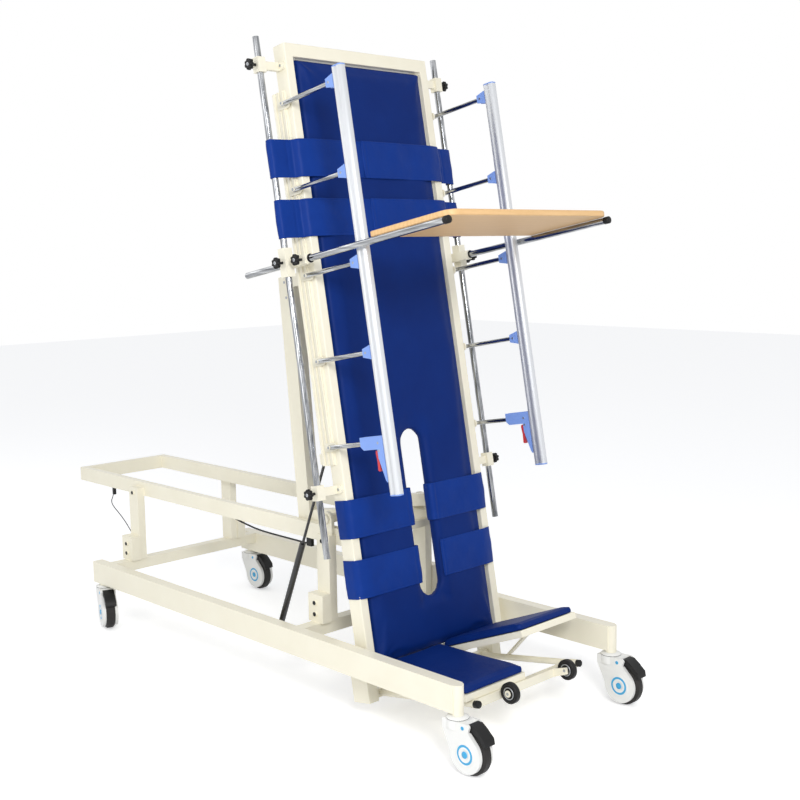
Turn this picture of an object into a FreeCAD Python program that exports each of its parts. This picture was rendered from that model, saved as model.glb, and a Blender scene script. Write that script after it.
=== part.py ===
import FreeCAD, Part
import math
import os

import Sketcher
from FreeCAD import Placement, Rotation, Vector

# Physiotherapy tilt table: wheeled base, tilting bed with folding guard rails,
# side rods with a sliding tray, body and leg straps, hinged foot plates and a gas strut.
# World: +Z up, floor at 0, patient faces -Y, origin on the floor under the middle.
# Bed frame: x across the bed, y from the foot to the head, z out of the pad.

SIZES = {
    # wheeled base
    "base_side_gap": 29.0,
    "rail_width": 40.0,
    "rail_height": 80.0,
    "rail_top": 240.0,
    "rail_rear_end": 820.0,
    "front_stem_y": -1070.0,
    "rear_stem_y": 775.0,
    "sleeve_radius": 17.0,
    "sleeve_drop": 6.0,
    "cross_tube": 40.0,
    "bracket_depth": 36.0,
    "bracket_width": 70.0,
    "bracket_top": 331.0,
    "bracket_wall": 5.0,
    "bolt_radius": 5.0,
    "bolt_head_radius": 8.0,
    "bolt_head_height": 5.0,
    "bolt_pitch_share": 0.3,
    # upper frame and its posts
    "upper_half_width": 200.0,
    "upper_tube": 25.0,
    "upper_height": 53.0,
    "upper_top": 536.5,
    "upper_rear_end": 1188.0,
    "upper_front_overhang": 63.0,
    "post_depth": 30.0,
    "post_width": 60.0,
    "post_top_drop": 20.0,
    "rear_post_y": 738.0,
    "ear_wall": 12.0,
    "ear_radius": 24.0,
    # tilt pivot
    "pivot_y": -378.0,
    "pivot_z": 564.0,
    "pivot_radius": 15.0,
    "pivot_overhang": 8.0,
    "running_gap": 0.1,
    "body_gap": 0.3,
    "tilt_angle": 80.0,
    # bed frame
    "bed_foot_y": -665.0,
    "bed_foot_z": 163.0,
    "bed_half_width": 300.0,
    "bed_length": 1892.0,
    "side_tube_width": 30.0,
    "side_tube_depth": 54.0,
    "side_foot_end": -20.0,
    "top_tube_height": 41.0,
    "bay_tube": 30.0,
    "lower_bay_y": 120.0,
    "middle_bay_y": 740.0,
    "foot_block_width": 40.0,
    "foot_block_back": 94.0,
    "foot_block_foot": -105.0,
    "foot_block_head": 60.0,
    # lift frame behind the bed
    "column_gap": 3.0,
    "column_width": 48.0,
    "column_depth": 60.0,
    "column_length": 808.0,
    "column_foot_back": 405.0,
    "column_lean": 4.7,
    "column_wall": 4.0,
    "lift_arm": 40.0,
    "arm_bolt_head": 2.0,
    "arm_bolt_pitch": 50.0,
    "bearer_line": 148.0,
    "bearer_width": 30.0,
    # bed pad
    "pad_side_gap": 3.0,
    "pad_head_gap": 2.0,
    "pad_thickness": 30.0,
    "pad_rise": 8.0,
    "pad_edge_round": 9.0,
    "slot_half_width": 33.0,
    "slot_foot_y": 178.0,
    "slot_head_y": 690.0,
    # guard rails
    "beam_foot_overhang": 55.0,
    "beam_head_overhang": 43.0,
    "beam_wall": 6.0,
    "beam_rib": 3.0,
    "beam_front": 24.0,
    "beam_back": 80.0,
    "arm_side_gap": 0.5,
    "guard_head_drop": 183.0,
    "guard_last_y": 675.0,
    "arm_radius": 7.0,
    "arm_bore": 3.0,
    "arm_root_back": 14.0,
    "arm_length": 219.0,
    "arm_bracket_wall": 3.5,
    "arm_bracket_half": 13.0,
    "pin_head_radius": 5.5,
    "pin_head_height": 3.0,
    "guard_bar_width": 25.0,
    "guard_bar_depth": 40.0,
    "guard_bar_foot_overhang": 150.0,
    "guard_bar_head_overhang": 36.0,
    "guard_bar_round": 9.0,
    "fork_gap": 0.4,
    "fork_wall": 3.0,
    "connector_tip_half": 12.0,
    "connector_root_half": 20.0,
    "connector_nose": 12.0,
    "bar_seat": 20.0,
    "latch_reach": 75.0,
    "latch_above": 20.0,
    "latch_web": 6.0,
    "latch_leg_length": 134.0,
    "latch_leg_depth": 25.0,
    "latch_below": 18.0,
    "trigger_length": 60.0,
    "trigger_depth": 12.0,
    "trigger_pivot_drop": 22.0,
    "trigger_pivot_inset": 19.0,
    "trigger_stand_off": 13.5,
    "trigger_pin_radius": 2.5,
    # side rods and their clamps
    "rod_offset": 75.0,
    "rod_back": 35.0,
    "rod_radius": 10.0,
    "rod_foot_y": 350.0,
    "rod_head_overhang": 18.0,
    "clamp_head_drop": 67.0,
    "clamp_foot_y": 547.0,
    "clamp_block": 28.0,
    "clamp_height": 45.0,
    "clamp_arm_height": 25.0,
    "clamp_arm_wall": 12.0,
    "lug_wall": 8.0,
    "lug_centre_back": 18.0,
    "knob_radius": 17.0,
    "knob_depth": 15.0,
    "knob_flute_radius": 3.2,
    "knob_shaft_radius": 4.0,
    "knob_shaft_length": 16.0,
    "knob_bite": 4.0,
    # tray
    "tray_drop": 657.0,
    "tray_tube_inset": 29.0,
    "tray_tube_radius": 10.0,
    "tray_tube_back": 270.0,
    "tray_tube_front": 612.0,
    "rod_sleeve": 30.0,
    "rod_sleeve_height": 86.0,
    "tube_sleeve": 28.0,
    "tube_sleeve_front": 34.0,
    "sleeve_ring": 8.0,
    "sleeve_ring_radius": 14.0,
    "tray_knob_front": 17.0,
    "board_side_inset": 1.0,
    "board_back": 310.0,
    "board_front": 617.0,
    "board_thickness": 17.0,
    "board_corner": 38.0,
    "board_edge_round": 2.5,
    # straps
    "strap_thickness": 3.0,
    "strap_width": 118.0,
    "upper_strap_drop": 407.0,
    "lower_strap_drop": 587.0,
    "thigh_strap_y": 394.0,
    "shin_strap_y": 212.0,
    "strap_tuck": 28.0,
    "strap_dip": 15.0,
    # foot support, plates, prop and rollers
    "foot_hinge_y": -8.0,
    "foot_hinge_z": 8.0,
    "knuckle_radius": 6.0,
    "hinge_pin_radius": 3.0,
    "plate_gap": 10.0,
    "plate_side_gap": 38.0,
    "plate_reach": 345.0,
    "plate_start": 12.0,
    "plate_rim": 20.0,
    "plate_wall": 3.0,
    "foot_pad_thickness": 18.0,
    "foot_pad_round": 6.0,
    "left_plate_rise": 2.0,
    "right_plate_rise": 22.0,
    "foot_tube_inset": 30.0,
    "foot_tube_y": -89.0,
    "foot_tube_radius": 10.0,
    "foot_tube_front": 365.0,
    "foot_cross": 25.0,
    "foot_bar_front": 355.0,
    "hinge_rail_depth": 24.0,
    "hinge_rail_height": 34.0,
    "roller_line": 130.0,
    "roller_y": -80.0,
    "roller_z": 397.0,
    "roller_radius": 31.0,
    "roller_width": 20.0,
    "roller_axle_radius": 5.0,
    "roller_plate": 5.0,
    "prop_width": 24.0,
    "prop_wall": 6.0,
    "prop_length": 138.7,
    "prop_reach": 182.0,
    "prop_angle": 41.7,
    "prop_head_radius": 5.0,
    "prop_lug_wall": 4.0,
    # gas strut
    "strut_base_y": -215.0,
    "strut_base_z": 185.0,
    "strut_top_y": 640.0,
    "strut_top_back": 88.0,
    "strut_radius": 10.0,
    "strut_wall": 2.0,
    "strut_body": 335.0,
    "strut_rod_radius": 4.5,
    "strut_eye_radius": 11.0,
    "strut_eye_width": 8.0,
    "strut_pin_radius": 4.0,
    "piston_length": 12.0,
    "piston_drop": 45.0,
    "gland_length": 8.0,
    "strut_cap": 16.0,
    # release cable
    "cable_height": 461.0,
    "cable_radius": 3.0,
    "cable_front_gap": 113.0,
    "cable_rear_gap": 38.0,
    "cable_clip": 12.0,
    # casters
    "caster_trail": 50.0,
    "wheel_radius": 62.5,
    "wheel_width": 32.0,
    "wheel_axle_radius": 5.0,
    "tread_round": 6.0,
    "housing_radius": 54.0,
    "housing_half_width": 28.0,
    "housing_slot_half": 17.0,
    "housing_slot_radius": 66.0,
    "nose_setback": 10.0,
    "dome_radius": 33.0,
    "dome_bottom": 122.0,
    "dome_height": 25.0,
    "neck_radius": 16.0,
    "caster_stem_radius": 6.0,
    "caster_stem_length": 32.0,
    "badge_radius": 24.0,
    "badge_depth": 1.0,
    "pedal_half_width": 20.0,
    "pedal_pivot_ahead": 8.0,
    "pedal_pivot_up": 78.0,
    "pedal_hub_radius": 6.5,
    "pedal_ear_radius": 8.0,
    "rear_left_swivel": -20.0,
    "overrun": 1.0,
}

doc = FreeCAD.newDocument("TiltTable")
sheet = doc.addObject("Spreadsheet::Sheet", "Sizes")
for row, (alias, number) in enumerate(SIZES.items(), start=1):
    sheet.set(f"A{row}", alias)
    sheet.set(f"B{row}", str(number))
    sheet.setAlias(f"B{row}", alias)
doc.recompute()


class Size:
    """A size that carries its value and the sheet expression that gives it."""

    def __init__(self, value, text):
        self.value = value
        self.text = text

    def __add__(self, other):
        other = as_size(other)
        return Size(self.value + other.value, f"({self.text} + {other.text})")

    def __radd__(self, other):
        return as_size(other) + self

    def __sub__(self, other):
        other = as_size(other)
        return Size(self.value - other.value, f"({self.text} - {other.text})")

    def __rsub__(self, other):
        return as_size(other) - self

    def __mul__(self, other):
        other = as_size(other)
        return Size(self.value * other.value, f"({self.text} * {other.text})")

    def __rmul__(self, other):
        return as_size(other) * self

    def __truediv__(self, other):
        other = as_size(other)
        return Size(self.value / other.value, f"({self.text} / {other.text})")

    def __neg__(self):
        return Size(-self.value, f"(-1 * {self.text})")


def as_size(item):
    """Return a plain factor or a size as a size."""
    if isinstance(item, Size):
        return item
    return Size(float(item), repr(item))


def sine(angle):
    """Sine of an angle in degrees."""
    return Size(math.sin(math.radians(angle.value)), f"sin({angle.text})")


def cosine(angle):
    """Cosine of an angle in degrees."""
    return Size(math.cos(math.radians(angle.value)), f"cos({angle.text})")


class Sheet:
    """Gives each named size of the spreadsheet as an attribute."""

    def __getattr__(self, alias):
        return Size(float(sheet.get(alias)), f"Sizes.{alias}")


S = Sheet()
NODES = []
AXES = "xyz"
TURNS = {
    "x": Rotation(Vector(0, 1, 0), 90),
    "y": Rotation(Vector(1, 0, 0), -90),
    "z": Rotation(),
}
PLANES = {
    "x": Rotation(Vector(1, 1, 1), 120),
    "y": Rotation(Vector(1, 0, 0), 90),
    "z": Rotation(),
}
SIDES = {"left": -1, "right": 1}

# Places that several pieces share
FLOOR = S.rail_top - S.rail_height
RAIL_INNER = S.bed_half_width + S.base_side_gap
BASE_HALF = RAIL_INNER + S.rail_width
STEM_LINE = BASE_HALF - S.rail_width / 2
UPPER_BOTTOM = S.upper_top - S.upper_height
POST_FACE = S.upper_half_width + S.post_depth
CABLE_LINE = S.upper_half_width - S.upper_tube / 2
CABLE_FRONT = S.pivot_y + S.cable_front_gap
CABLE_REAR = S.rear_post_y - S.cable_rear_gap
PIVOT_BED_Y = (S.pivot_y - S.bed_foot_y) * cosine(S.tilt_angle) + (S.pivot_z - S.bed_foot_z) * sine(S.tilt_angle)
PIVOT_BED_Z = (S.pivot_z - S.bed_foot_z) * cosine(S.tilt_angle) - (S.pivot_y - S.bed_foot_y) * sine(S.tilt_angle)
COLUMN_OUTER = S.upper_half_width - S.upper_tube - S.column_gap
COLUMN_FOOT = PIVOT_BED_Y - S.pivot_radius
COLUMN_HEAD = COLUMN_FOOT + S.column_length * cosine(S.column_lean)
UPPER_BAY_Y = COLUMN_HEAD - S.lift_arm / 2
PAD_HALF = S.bed_half_width - S.side_tube_width - S.pad_side_gap
PAD_LENGTH = S.bed_length - S.top_tube_height - S.pad_head_gap
STRUT_LINE = S.bed_half_width - S.side_tube_width / 2
BEAM_FACE = S.bed_half_width + S.beam_wall + S.beam_rib
GUARD_PLANE = BEAM_FACE + S.arm_bracket_wall + S.arm_side_gap + S.arm_radius
GUARD_FIRST = S.bed_length - S.guard_head_drop
GUARD_PITCH = (GUARD_FIRST - S.guard_last_y) / 4
BEAM_FOOT = S.guard_last_y - S.beam_foot_overhang
BEAM_HEAD = GUARD_FIRST + S.beam_head_overhang
GUARD_BAR_FOOT = S.guard_last_y - S.guard_bar_foot_overhang
GUARD_BAR_HEAD = GUARD_FIRST + S.guard_bar_head_overhang
TIP_Z = S.arm_length - S.arm_root_back
BAR_BACK = TIP_Z + S.bar_seat
ROD_LINE = S.bed_half_width + S.rod_offset
ROD_HEAD = S.bed_length + S.rod_head_overhang
CLAMP_HEAD = S.bed_length - S.clamp_head_drop
TRAY_Y = S.bed_length - S.tray_drop
TRAY_TUBE_LINE = ROD_LINE - S.tray_tube_inset
SLEEVE_FACE = ROD_LINE - S.rod_sleeve / 2
BOARD_SEAT = TRAY_Y + S.tray_tube_radius
BOARD_HALF = TRAY_TUBE_LINE - S.board_side_inset
UPPER_STRAP = S.bed_length - S.upper_strap_drop
LOWER_STRAP = S.bed_length - S.lower_strap_drop
PLATE_SPAN = S.bed_half_width - S.plate_side_gap
FOOT_TUBE_LINE = S.bed_half_width - S.foot_block_width - S.foot_tube_inset


def bind(item, name, size):
    """Bind one property of an object to a sheet expression."""
    item.setExpression(name, as_size(size).text)


def block(name, x, y, z):
    """Box between a low and a high place on each axis."""
    item = doc.addObject("Part::Box", name)
    for length, axis, (low, high) in zip(("Length", "Width", "Height"), AXES, (x, y, z)):
        bind(item, length, as_size(high) - low)
        bind(item, f"Placement.Base.{axis}", low)
    return item


def bar(name, axis, radius, span, centre):
    """Round bar along an axis, from span low to high, with its centre on the other two axes."""
    item = doc.addObject("Part::Cylinder", name)
    low, high = span
    item.Placement = Placement(Vector(), TURNS[axis])
    bind(item, "Radius", radius)
    bind(item, "Height", as_size(high) - low)
    bind(item, f"Placement.Base.{axis}", low)
    others = [letter for letter in AXES if letter != axis]
    for letter, place in zip(others, centre):
        bind(item, f"Placement.Base.{letter}", place)
    return item


def trace(sketch, points):
    """Draw a closed outline in a sketch, each corner held by two bound distances."""
    count = len(points)
    for index, (across, along) in enumerate(points):
        following = points[(index + 1) % count]
        start = Vector(across.value, along.value, 0)
        end = Vector(following[0].value, following[1].value, 0)
        sketch.addGeometry(Part.LineSegment(start, end))
    for index in range(count):
        sketch.addConstraint(Sketcher.Constraint("Coincident", index, 2, (index + 1) % count, 1))
        for kind, place in zip(("DistanceX", "DistanceY"), points[index]):
            number = sketch.addConstraint(Sketcher.Constraint(kind, -1, 1, index, 1, place.value))
            sketch.setExpression(f"Constraints[{number}]", place.text)


def prism(name, axis, points, span):
    """Solid with a flat outline across an axis, drawn out from span low to high."""
    sketch = doc.addObject("Sketcher::SketchObject", f"{name}_outline")
    sketch.Placement = Placement(Vector(), PLANES[axis])
    trace(sketch, [(as_size(a), as_size(b)) for a, b in points])
    low, high = span
    item = doc.addObject("Part::Extrusion", name)
    item.Base = sketch
    item.DirMode = "Custom"
    item.Dir = Vector(*(1.0 if letter == axis else 0.0 for letter in AXES))
    item.Solid = True
    bind(sketch, f"Placement.Base.{axis}", low)
    bind(item, "LengthFwd", as_size(high) - low)
    return item


def join(name, pieces):
    """Fuse pieces of one node."""
    item = doc.addObject("Part::MultiFuse", name)
    item.Shapes = pieces
    item.Refine = True
    return item


def group(name, pieces):
    """Keep separate solids of one node together."""
    item = doc.addObject("Part::Compound", name)
    item.Links = pieces
    return item


def carve(name, body, tools):
    """Cut tools out of a body."""
    tool = tools[0] if len(tools) == 1 else join(f"{name}_tools", tools)
    item = doc.addObject("Part::Cut", name)
    item.Base = body
    item.Tool = tool
    item.Refine = True
    return item


def round_edges(name, body, radius, pick):
    """Round the edges of a body that pick accepts."""
    doc.recompute()
    item = doc.addObject("Part::Fillet", name)
    item.Base = body
    chosen = [i for i, edge in enumerate(body.Shape.Edges, start=1) if pick(edge)]
    item.Edges = [(i, radius.value, radius.value) for i in chosen]
    return item


def sided(side, low, high):
    """Span along x on the left or the right of the middle."""
    if side > 0:
        return (as_size(low), as_size(high))
    return (-as_size(high), -as_size(low))


def keep(item, label):
    """Register a finished piece under its node name, in the world frame."""
    item.Label = label
    NODES.append(item)
    return item


def on_bed(item, label):
    """Register a finished piece that lies in the tilted bed frame."""
    item.Placement = Placement(Vector(), Rotation(Vector(1, 0, 0), S.tilt_angle.value))
    bind(item, "Placement.Base.y", S.bed_foot_y)
    bind(item, "Placement.Base.z", S.bed_foot_z)
    bind(item, "Placement.Rotation.Angle", S.tilt_angle)
    return keep(item, label)


def bed_point(x, y, z):
    """World point of a place in the bed frame."""
    angle = math.radians(S.tilt_angle.value)
    world_y = S.bed_foot_y.value + y.value * math.cos(angle) - z.value * math.sin(angle)
    world_z = S.bed_foot_z.value + y.value * math.sin(angle) + z.value * math.cos(angle)
    return Vector(x.value, world_y, world_z)


def centred(middle, width):
    """Span of a width about its middle."""
    return (as_size(middle) - width / 2, as_size(middle) + width / 2)


def bevel_edges(name, body, size, pick):
    """Bevel the edges of a body that pick accepts."""
    doc.recompute()
    item = doc.addObject("Part::Chamfer", name)
    item.Base = body
    chosen = [i for i, edge in enumerate(body.Shape.Edges, start=1) if pick(edge)]
    item.Edges = [(i, size.value, size.value) for i in chosen]
    return item


def long_edge(axis):
    """Edges that run straight along an axis."""
    def pick(edge):
        if not isinstance(edge.Curve, Part.Line):
            return False
        return abs(abs(getattr(edge.tangentAt(edge.FirstParameter), axis)) - 1) < 1e-6
    return pick


def make_base_frame():
    """Two side rails, two cross tubes, stem sleeves and the channel brackets of the posts."""
    pieces = []
    holes = []
    for name, side in SIDES.items():
        rail = block(f"rail_{name}", sided(side, RAIL_INNER, BASE_HALF),
                     (S.front_stem_y, S.rail_rear_end), (FLOOR, S.rail_top))
        pieces.append(rail)
        line = side * STEM_LINE
        for end, y in (("front", S.front_stem_y), ("rear", S.rear_stem_y)):
            top = S.rail_top if end == "front" else FLOOR + S.sleeve_drop
            span = (FLOOR - S.sleeve_drop, top)
            pieces.append(bar(f"sleeve_{end}_{name}", "z", S.sleeve_radius, span, (line, y)))
            depth = (FLOOR - S.sleeve_drop - S.overrun, FLOOR + S.caster_stem_length)
            holes.append(bar(f"stem_hole_{end}_{name}", "z", S.caster_stem_radius + S.running_gap, depth, (line, y)))
        for end, y in (("front", S.pivot_y), ("rear", S.rear_post_y)):
            outer = POST_FACE + S.bracket_depth
            shell = block(f"bracket_{end}_{name}", sided(side, POST_FACE, outer),
                          centred(y, S.bracket_width), (S.rail_top, S.bracket_top))
            hollow = block(f"bracket_hollow_{end}_{name}",
                           sided(side, POST_FACE - S.overrun, outer - S.bracket_wall),
                           centred(y, S.bracket_width - 2 * S.bracket_wall),
                           (S.rail_top + S.overrun, S.bracket_top - S.bracket_wall))
            pieces.append(carve(f"bracket_shell_{end}_{name}", shell, [hollow]))
            for number, up in enumerate((S.bolt_pitch_share, 1 - S.bolt_pitch_share)):
                height = S.rail_top + (S.bracket_top - S.rail_top) * up
                span = sided(side, outer, outer + S.bolt_head_height)
                pieces.append(bar(f"bracket_bolt_{end}_{name}_{number}", "x", S.bolt_head_radius, span, (y, height)))
        line = side * STRUT_LINE
        if name == "left":
            seat = STRUT_LINE + S.strut_eye_radius
            pieces.append(block("strut_seat", sided(side, seat, RAIL_INNER),
                                centred(S.strut_base_y, 2 * S.strut_eye_radius),
                                centred(S.strut_base_z, 2 * S.strut_eye_radius)))
            pieces.append(bar("strut_base_pin", "x", S.strut_pin_radius,
                              sided(side, STRUT_LINE - S.strut_eye_width, seat), (S.strut_base_y, S.strut_base_z)))
    for end, y in (("front", S.pivot_y), ("rear", S.rear_post_y)):
        pieces.append(block(f"cross_{end}", (-RAIL_INNER, RAIL_INNER), centred(y, S.cross_tube),
                            (S.rail_top - S.cross_tube, S.rail_top)))
    keep(carve("base_frame", join("base_frame_body", pieces), holes), "base_frame")


def make_upper_frame():
    """Horizontal tube frame on four posts, with the pivot ears on its front posts."""
    front = S.pivot_y - S.upper_front_overhang
    pieces = [
        block("upper_rear", (-S.upper_half_width, S.upper_half_width),
              (S.upper_rear_end - S.upper_tube, S.upper_rear_end), (UPPER_BOTTOM, S.upper_top)),
        block("upper_front", (-S.upper_half_width, S.upper_half_width),
              (front, front + S.upper_tube), (UPPER_BOTTOM, UPPER_BOTTOM + S.upper_tube)),
    ]
    holes = []
    for name, side in SIDES.items():
        inner = S.upper_half_width - S.upper_tube
        pieces.append(block(f"upper_rail_{name}", sided(side, inner, S.upper_half_width),
                            (front, S.upper_rear_end), (UPPER_BOTTOM, S.upper_top)))
        for end, y in (("front", S.pivot_y), ("rear", S.rear_post_y)):
            pieces.append(block(f"post_{end}_{name}", sided(side, S.upper_half_width, POST_FACE),
                                centred(y, S.post_width), (S.rail_top, S.upper_top - S.post_top_drop)))
            height = UPPER_BOTTOM + S.upper_height / 4
            pieces.append(bar(f"post_bolt_{end}_{name}", "x", S.bolt_head_radius,
                              sided(side, POST_FACE, POST_FACE + S.bolt_head_height), (y, height)))
        span = sided(side, S.upper_half_width, S.upper_half_width + S.ear_wall)
        pieces.append(block(f"ear_{name}", span, centred(S.pivot_y, 2 * S.ear_radius),
                            (UPPER_BOTTOM, S.pivot_z)))
        pieces.append(bar(f"ear_top_{name}", "x", S.ear_radius, span, (S.pivot_y, S.pivot_z)))
        reach = sided(side, S.upper_half_width - S.overrun, S.upper_half_width + S.ear_wall + S.overrun)
        holes.append(bar(f"ear_bore_{name}", "x", S.pivot_radius + S.running_gap, reach, (S.pivot_y, S.pivot_z)))
    keep(carve("upper_frame", join("upper_frame_body", pieces), holes), "upper_frame")


def make_release_cable():
    """Straight release cable under the left upper rail, with a clip at each end."""
    line = -CABLE_LINE
    span = (CABLE_FRONT, CABLE_REAR)
    cable = bar("cable_run", "y", S.cable_radius, span, (line, S.cable_height))
    pieces = [cable]
    for end, y in (("front", CABLE_FRONT), ("rear", CABLE_REAR)):
        pieces.append(block(f"cable_clip_{end}", centred(line, S.cable_clip), centred(y, 2 * S.cable_clip),
                            (S.cable_height - S.cable_clip / 2, UPPER_BOTTOM)))
    keep(join("release_cable", pieces), "release_cable")


def make_bed_frame():
    """Tube frame of the bed with its foot blocks and the strut's top bracket."""
    inner = S.bed_half_width - S.side_tube_width
    pieces = [block("top_tube", (-inner, inner), (S.bed_length - S.top_tube_height, S.bed_length),
                    (-S.side_tube_depth, 0))]
    tray = (-S.side_tube_depth, S.pad_rise - S.pad_thickness - S.body_gap)
    for number, y in enumerate((S.lower_bay_y, S.middle_bay_y, UPPER_BAY_Y)):
        pieces.append(block(f"bay_tube_{number}", (-inner, inner), centred(y, S.bay_tube), tray))
    for name, side in SIDES.items():
        pieces.append(block(f"side_tube_{name}", sided(side, inner, S.bed_half_width),
                            (S.side_foot_end, S.bed_length), (-S.side_tube_depth, 0)))
        bearer = sided(side, S.bearer_line - S.bearer_width / 2, S.bearer_line + S.bearer_width / 2)
        pieces.append(block(f"bearer_{name}", bearer, (S.lower_bay_y, UPPER_BAY_Y), tray))
        pieces.append(block(f"foot_block_{name}", sided(side, S.bed_half_width - S.foot_block_width, S.bed_half_width),
                            (S.foot_block_foot, S.foot_block_head), (-S.foot_block_back, tray[1])))
    cheek = STRUT_LINE + S.strut_eye_width / 2 + 2 * S.body_gap
    pieces.append(block("strut_bracket", (-S.bed_half_width, -cheek),
                        centred(S.strut_top_y, 3 * S.strut_eye_radius),
                        (-S.strut_top_back - S.strut_eye_radius, -S.side_tube_depth)))
    on_bed(join("bed_frame", pieces), "bed_frame")


def make_lift_frame():
    """Two leaning columns behind the bed, the arms that carry them and the pivot tube."""
    pieces = []
    inner = COLUMN_OUTER - S.column_width
    foot = COLUMN_FOOT
    front = S.column_depth - S.column_foot_back
    rise = S.column_length * sine(S.column_lean)
    head = COLUMN_HEAD
    middle = (inner + COLUMN_OUTER) / 2
    for name, side in SIDES.items():
        outline = [(foot, -S.column_foot_back), (head, rise - S.column_foot_back), (head, rise + front), (foot, front)]
        pieces.append(prism(f"column_{name}", "x", outline, sided(side, inner, COLUMN_OUTER)))
        stand = sided(side, middle - S.lift_arm / 2, middle + S.lift_arm / 2)
        pieces.append(block(f"lower_arm_{name}", stand, (foot, foot + S.lift_arm),
                            (front - S.column_wall, -S.side_tube_depth)))
        pieces.append(block(f"upper_arm_{name}", stand, centred(UPPER_BAY_Y, S.lift_arm),
                            (rise + front - S.lift_arm, -S.side_tube_depth)))
        for number in range(2):
            y = UPPER_BAY_Y - number * S.arm_bolt_pitch
            pieces.append(bar(f"arm_bolt_{name}_{number}", "x", S.bolt_head_radius,
                              sided(side, COLUMN_OUTER - S.overrun, COLUMN_OUTER + S.arm_bolt_head),
                              (y, rise + front - S.column_depth / 2)))
    reach = S.upper_half_width + S.ear_wall + S.pivot_overhang
    pieces.append(bar("pivot_tube", "x", S.pivot_radius, (-reach, reach), (PIVOT_BED_Y, PIVOT_BED_Z)))
    on_bed(join("lift_frame", pieces), "lift_frame")


def make_bed_pad():
    """Upholstered pad with a round-ended leg slot and rounded front edges."""
    back = S.pad_rise - S.pad_thickness
    slab = block("pad_slab", (-PAD_HALF, PAD_HALF), (S.body_gap, PAD_LENGTH), (back, S.pad_rise))
    span = (back - S.overrun, S.pad_rise + S.overrun)
    low = S.slot_foot_y + S.slot_half_width
    high = S.slot_head_y - S.slot_half_width
    slot = [
        block("slot_run", (-S.slot_half_width, S.slot_half_width), (low, high), span),
        bar("slot_foot", "z", S.slot_half_width, span, (0, low)),
        bar("slot_head", "z", S.slot_half_width, span, (0, high)),
    ]
    cut = carve("pad_body", slab, slot)
    top = S.pad_rise.value

    def front(edge):
        return all(abs(vertex.Z - top) < 1e-6 for vertex in edge.Vertexes)

    on_bed(round_edges("bed_pad", cut, S.pad_edge_round, front), "bed_pad")


def make_guard_beams():
    """Ribbed mounting strips on the bed sides with the arm brackets and their pins."""
    solids = []
    for name, side in SIDES.items():
        wall = S.bed_half_width + S.beam_wall
        pieces = [block(f"beam_{name}", sided(side, S.bed_half_width, wall),
                        (BEAM_FOOT, BEAM_HEAD), (-S.beam_back, -S.beam_front))]
        depth = S.beam_back - S.beam_front
        for number in range(3):
            low = -S.beam_back + depth * (2 * number + 0.5) / 6
            pieces.append(block(f"beam_rib_{name}_{number}", sided(side, wall - S.overrun, BEAM_FACE),
                                (BEAM_FOOT, BEAM_HEAD), (low, low + depth / 6)))
        for number in range(5):
            y = GUARD_FIRST - number * GUARD_PITCH
            face = BEAM_FACE + S.arm_bracket_wall
            pieces.append(block(f"arm_bracket_{name}_{number}", sided(side, wall - S.overrun, face),
                                centred(y, 2 * S.arm_bracket_half), (-S.beam_back + depth / 2, -S.arm_root_back)))
            pieces.append(bar(f"arm_bracket_nose_{name}_{number}", "x", S.arm_bracket_half,
                              sided(side, BEAM_FACE - S.beam_rib, face), (y, -S.arm_root_back)))
            head = GUARD_PLANE + S.arm_radius + S.fork_gap
            pieces.append(bar(f"arm_pin_{name}_{number}", "x", S.arm_bore,
                              sided(side, face - S.overrun, head + S.pin_head_height), (y, -S.arm_root_back)))
            pieces.append(bar(f"arm_pin_head_{name}_{number}", "x", S.pin_head_radius,
                              sided(side, head, head + S.pin_head_height), (y, -S.arm_root_back)))
        solids.append(join(f"guard_beam_{name}", pieces))
    on_bed(group("guard_beams", solids), "guard_beams")


def make_guard(name, side):
    """Five arms, the bar, its connectors with the latch, and the trigger of one guard rail."""
    plane = side * GUARD_PLANE
    for number in range(5):
        y = GUARD_FIRST - number * GUARD_PITCH
        tube = bar(f"arm_tube_{name}_{number}", "z", S.arm_radius,
                   (-S.arm_root_back - S.arm_radius, TIP_Z + S.arm_radius), (plane, y))
        span = (plane - 2 * S.arm_radius, plane + 2 * S.arm_radius)
        holes = [bar(f"arm_hole_{end}_{name}_{number}", "x", S.arm_bore + S.running_gap, span, (y, z))
                 for end, z in (("root", -S.arm_root_back), ("tip", TIP_Z))]
        on_bed(carve(f"guard_arm_{name}_{number + 1}", tube, holes), f"guard_arm_{name}_{number + 1}")
    box = block(f"guard_bar_box_{name}", centred(plane, S.guard_bar_width),
                (GUARD_BAR_FOOT, GUARD_BAR_HEAD), (BAR_BACK, BAR_BACK + S.guard_bar_depth))
    on_bed(round_edges(f"guard_bar_{name}", box, S.guard_bar_round, long_edge("y")), f"guard_bar_{name}")
    solids = [make_connector(name, number, plane) for number in range(4)]
    solids.append(make_latch(name, plane))
    on_bed(group(f"guard_connectors_{name}", solids), f"guard_connectors_{name}")
    make_trigger(name, plane)


def fork(label, plane, outline):
    """Two cheeks on both sides of the arm with one outline across x."""
    cheeks = []
    for number, way in enumerate((-1, 1)):
        near = S.arm_radius + S.fork_gap
        far = near + S.fork_wall
        low, high = (near, far) if way > 0 else (-far, -near)
        cheeks.append(prism(f"{label}_cheek_{number}", "x", outline, (plane + low, plane + high)))
    return cheeks


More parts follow.
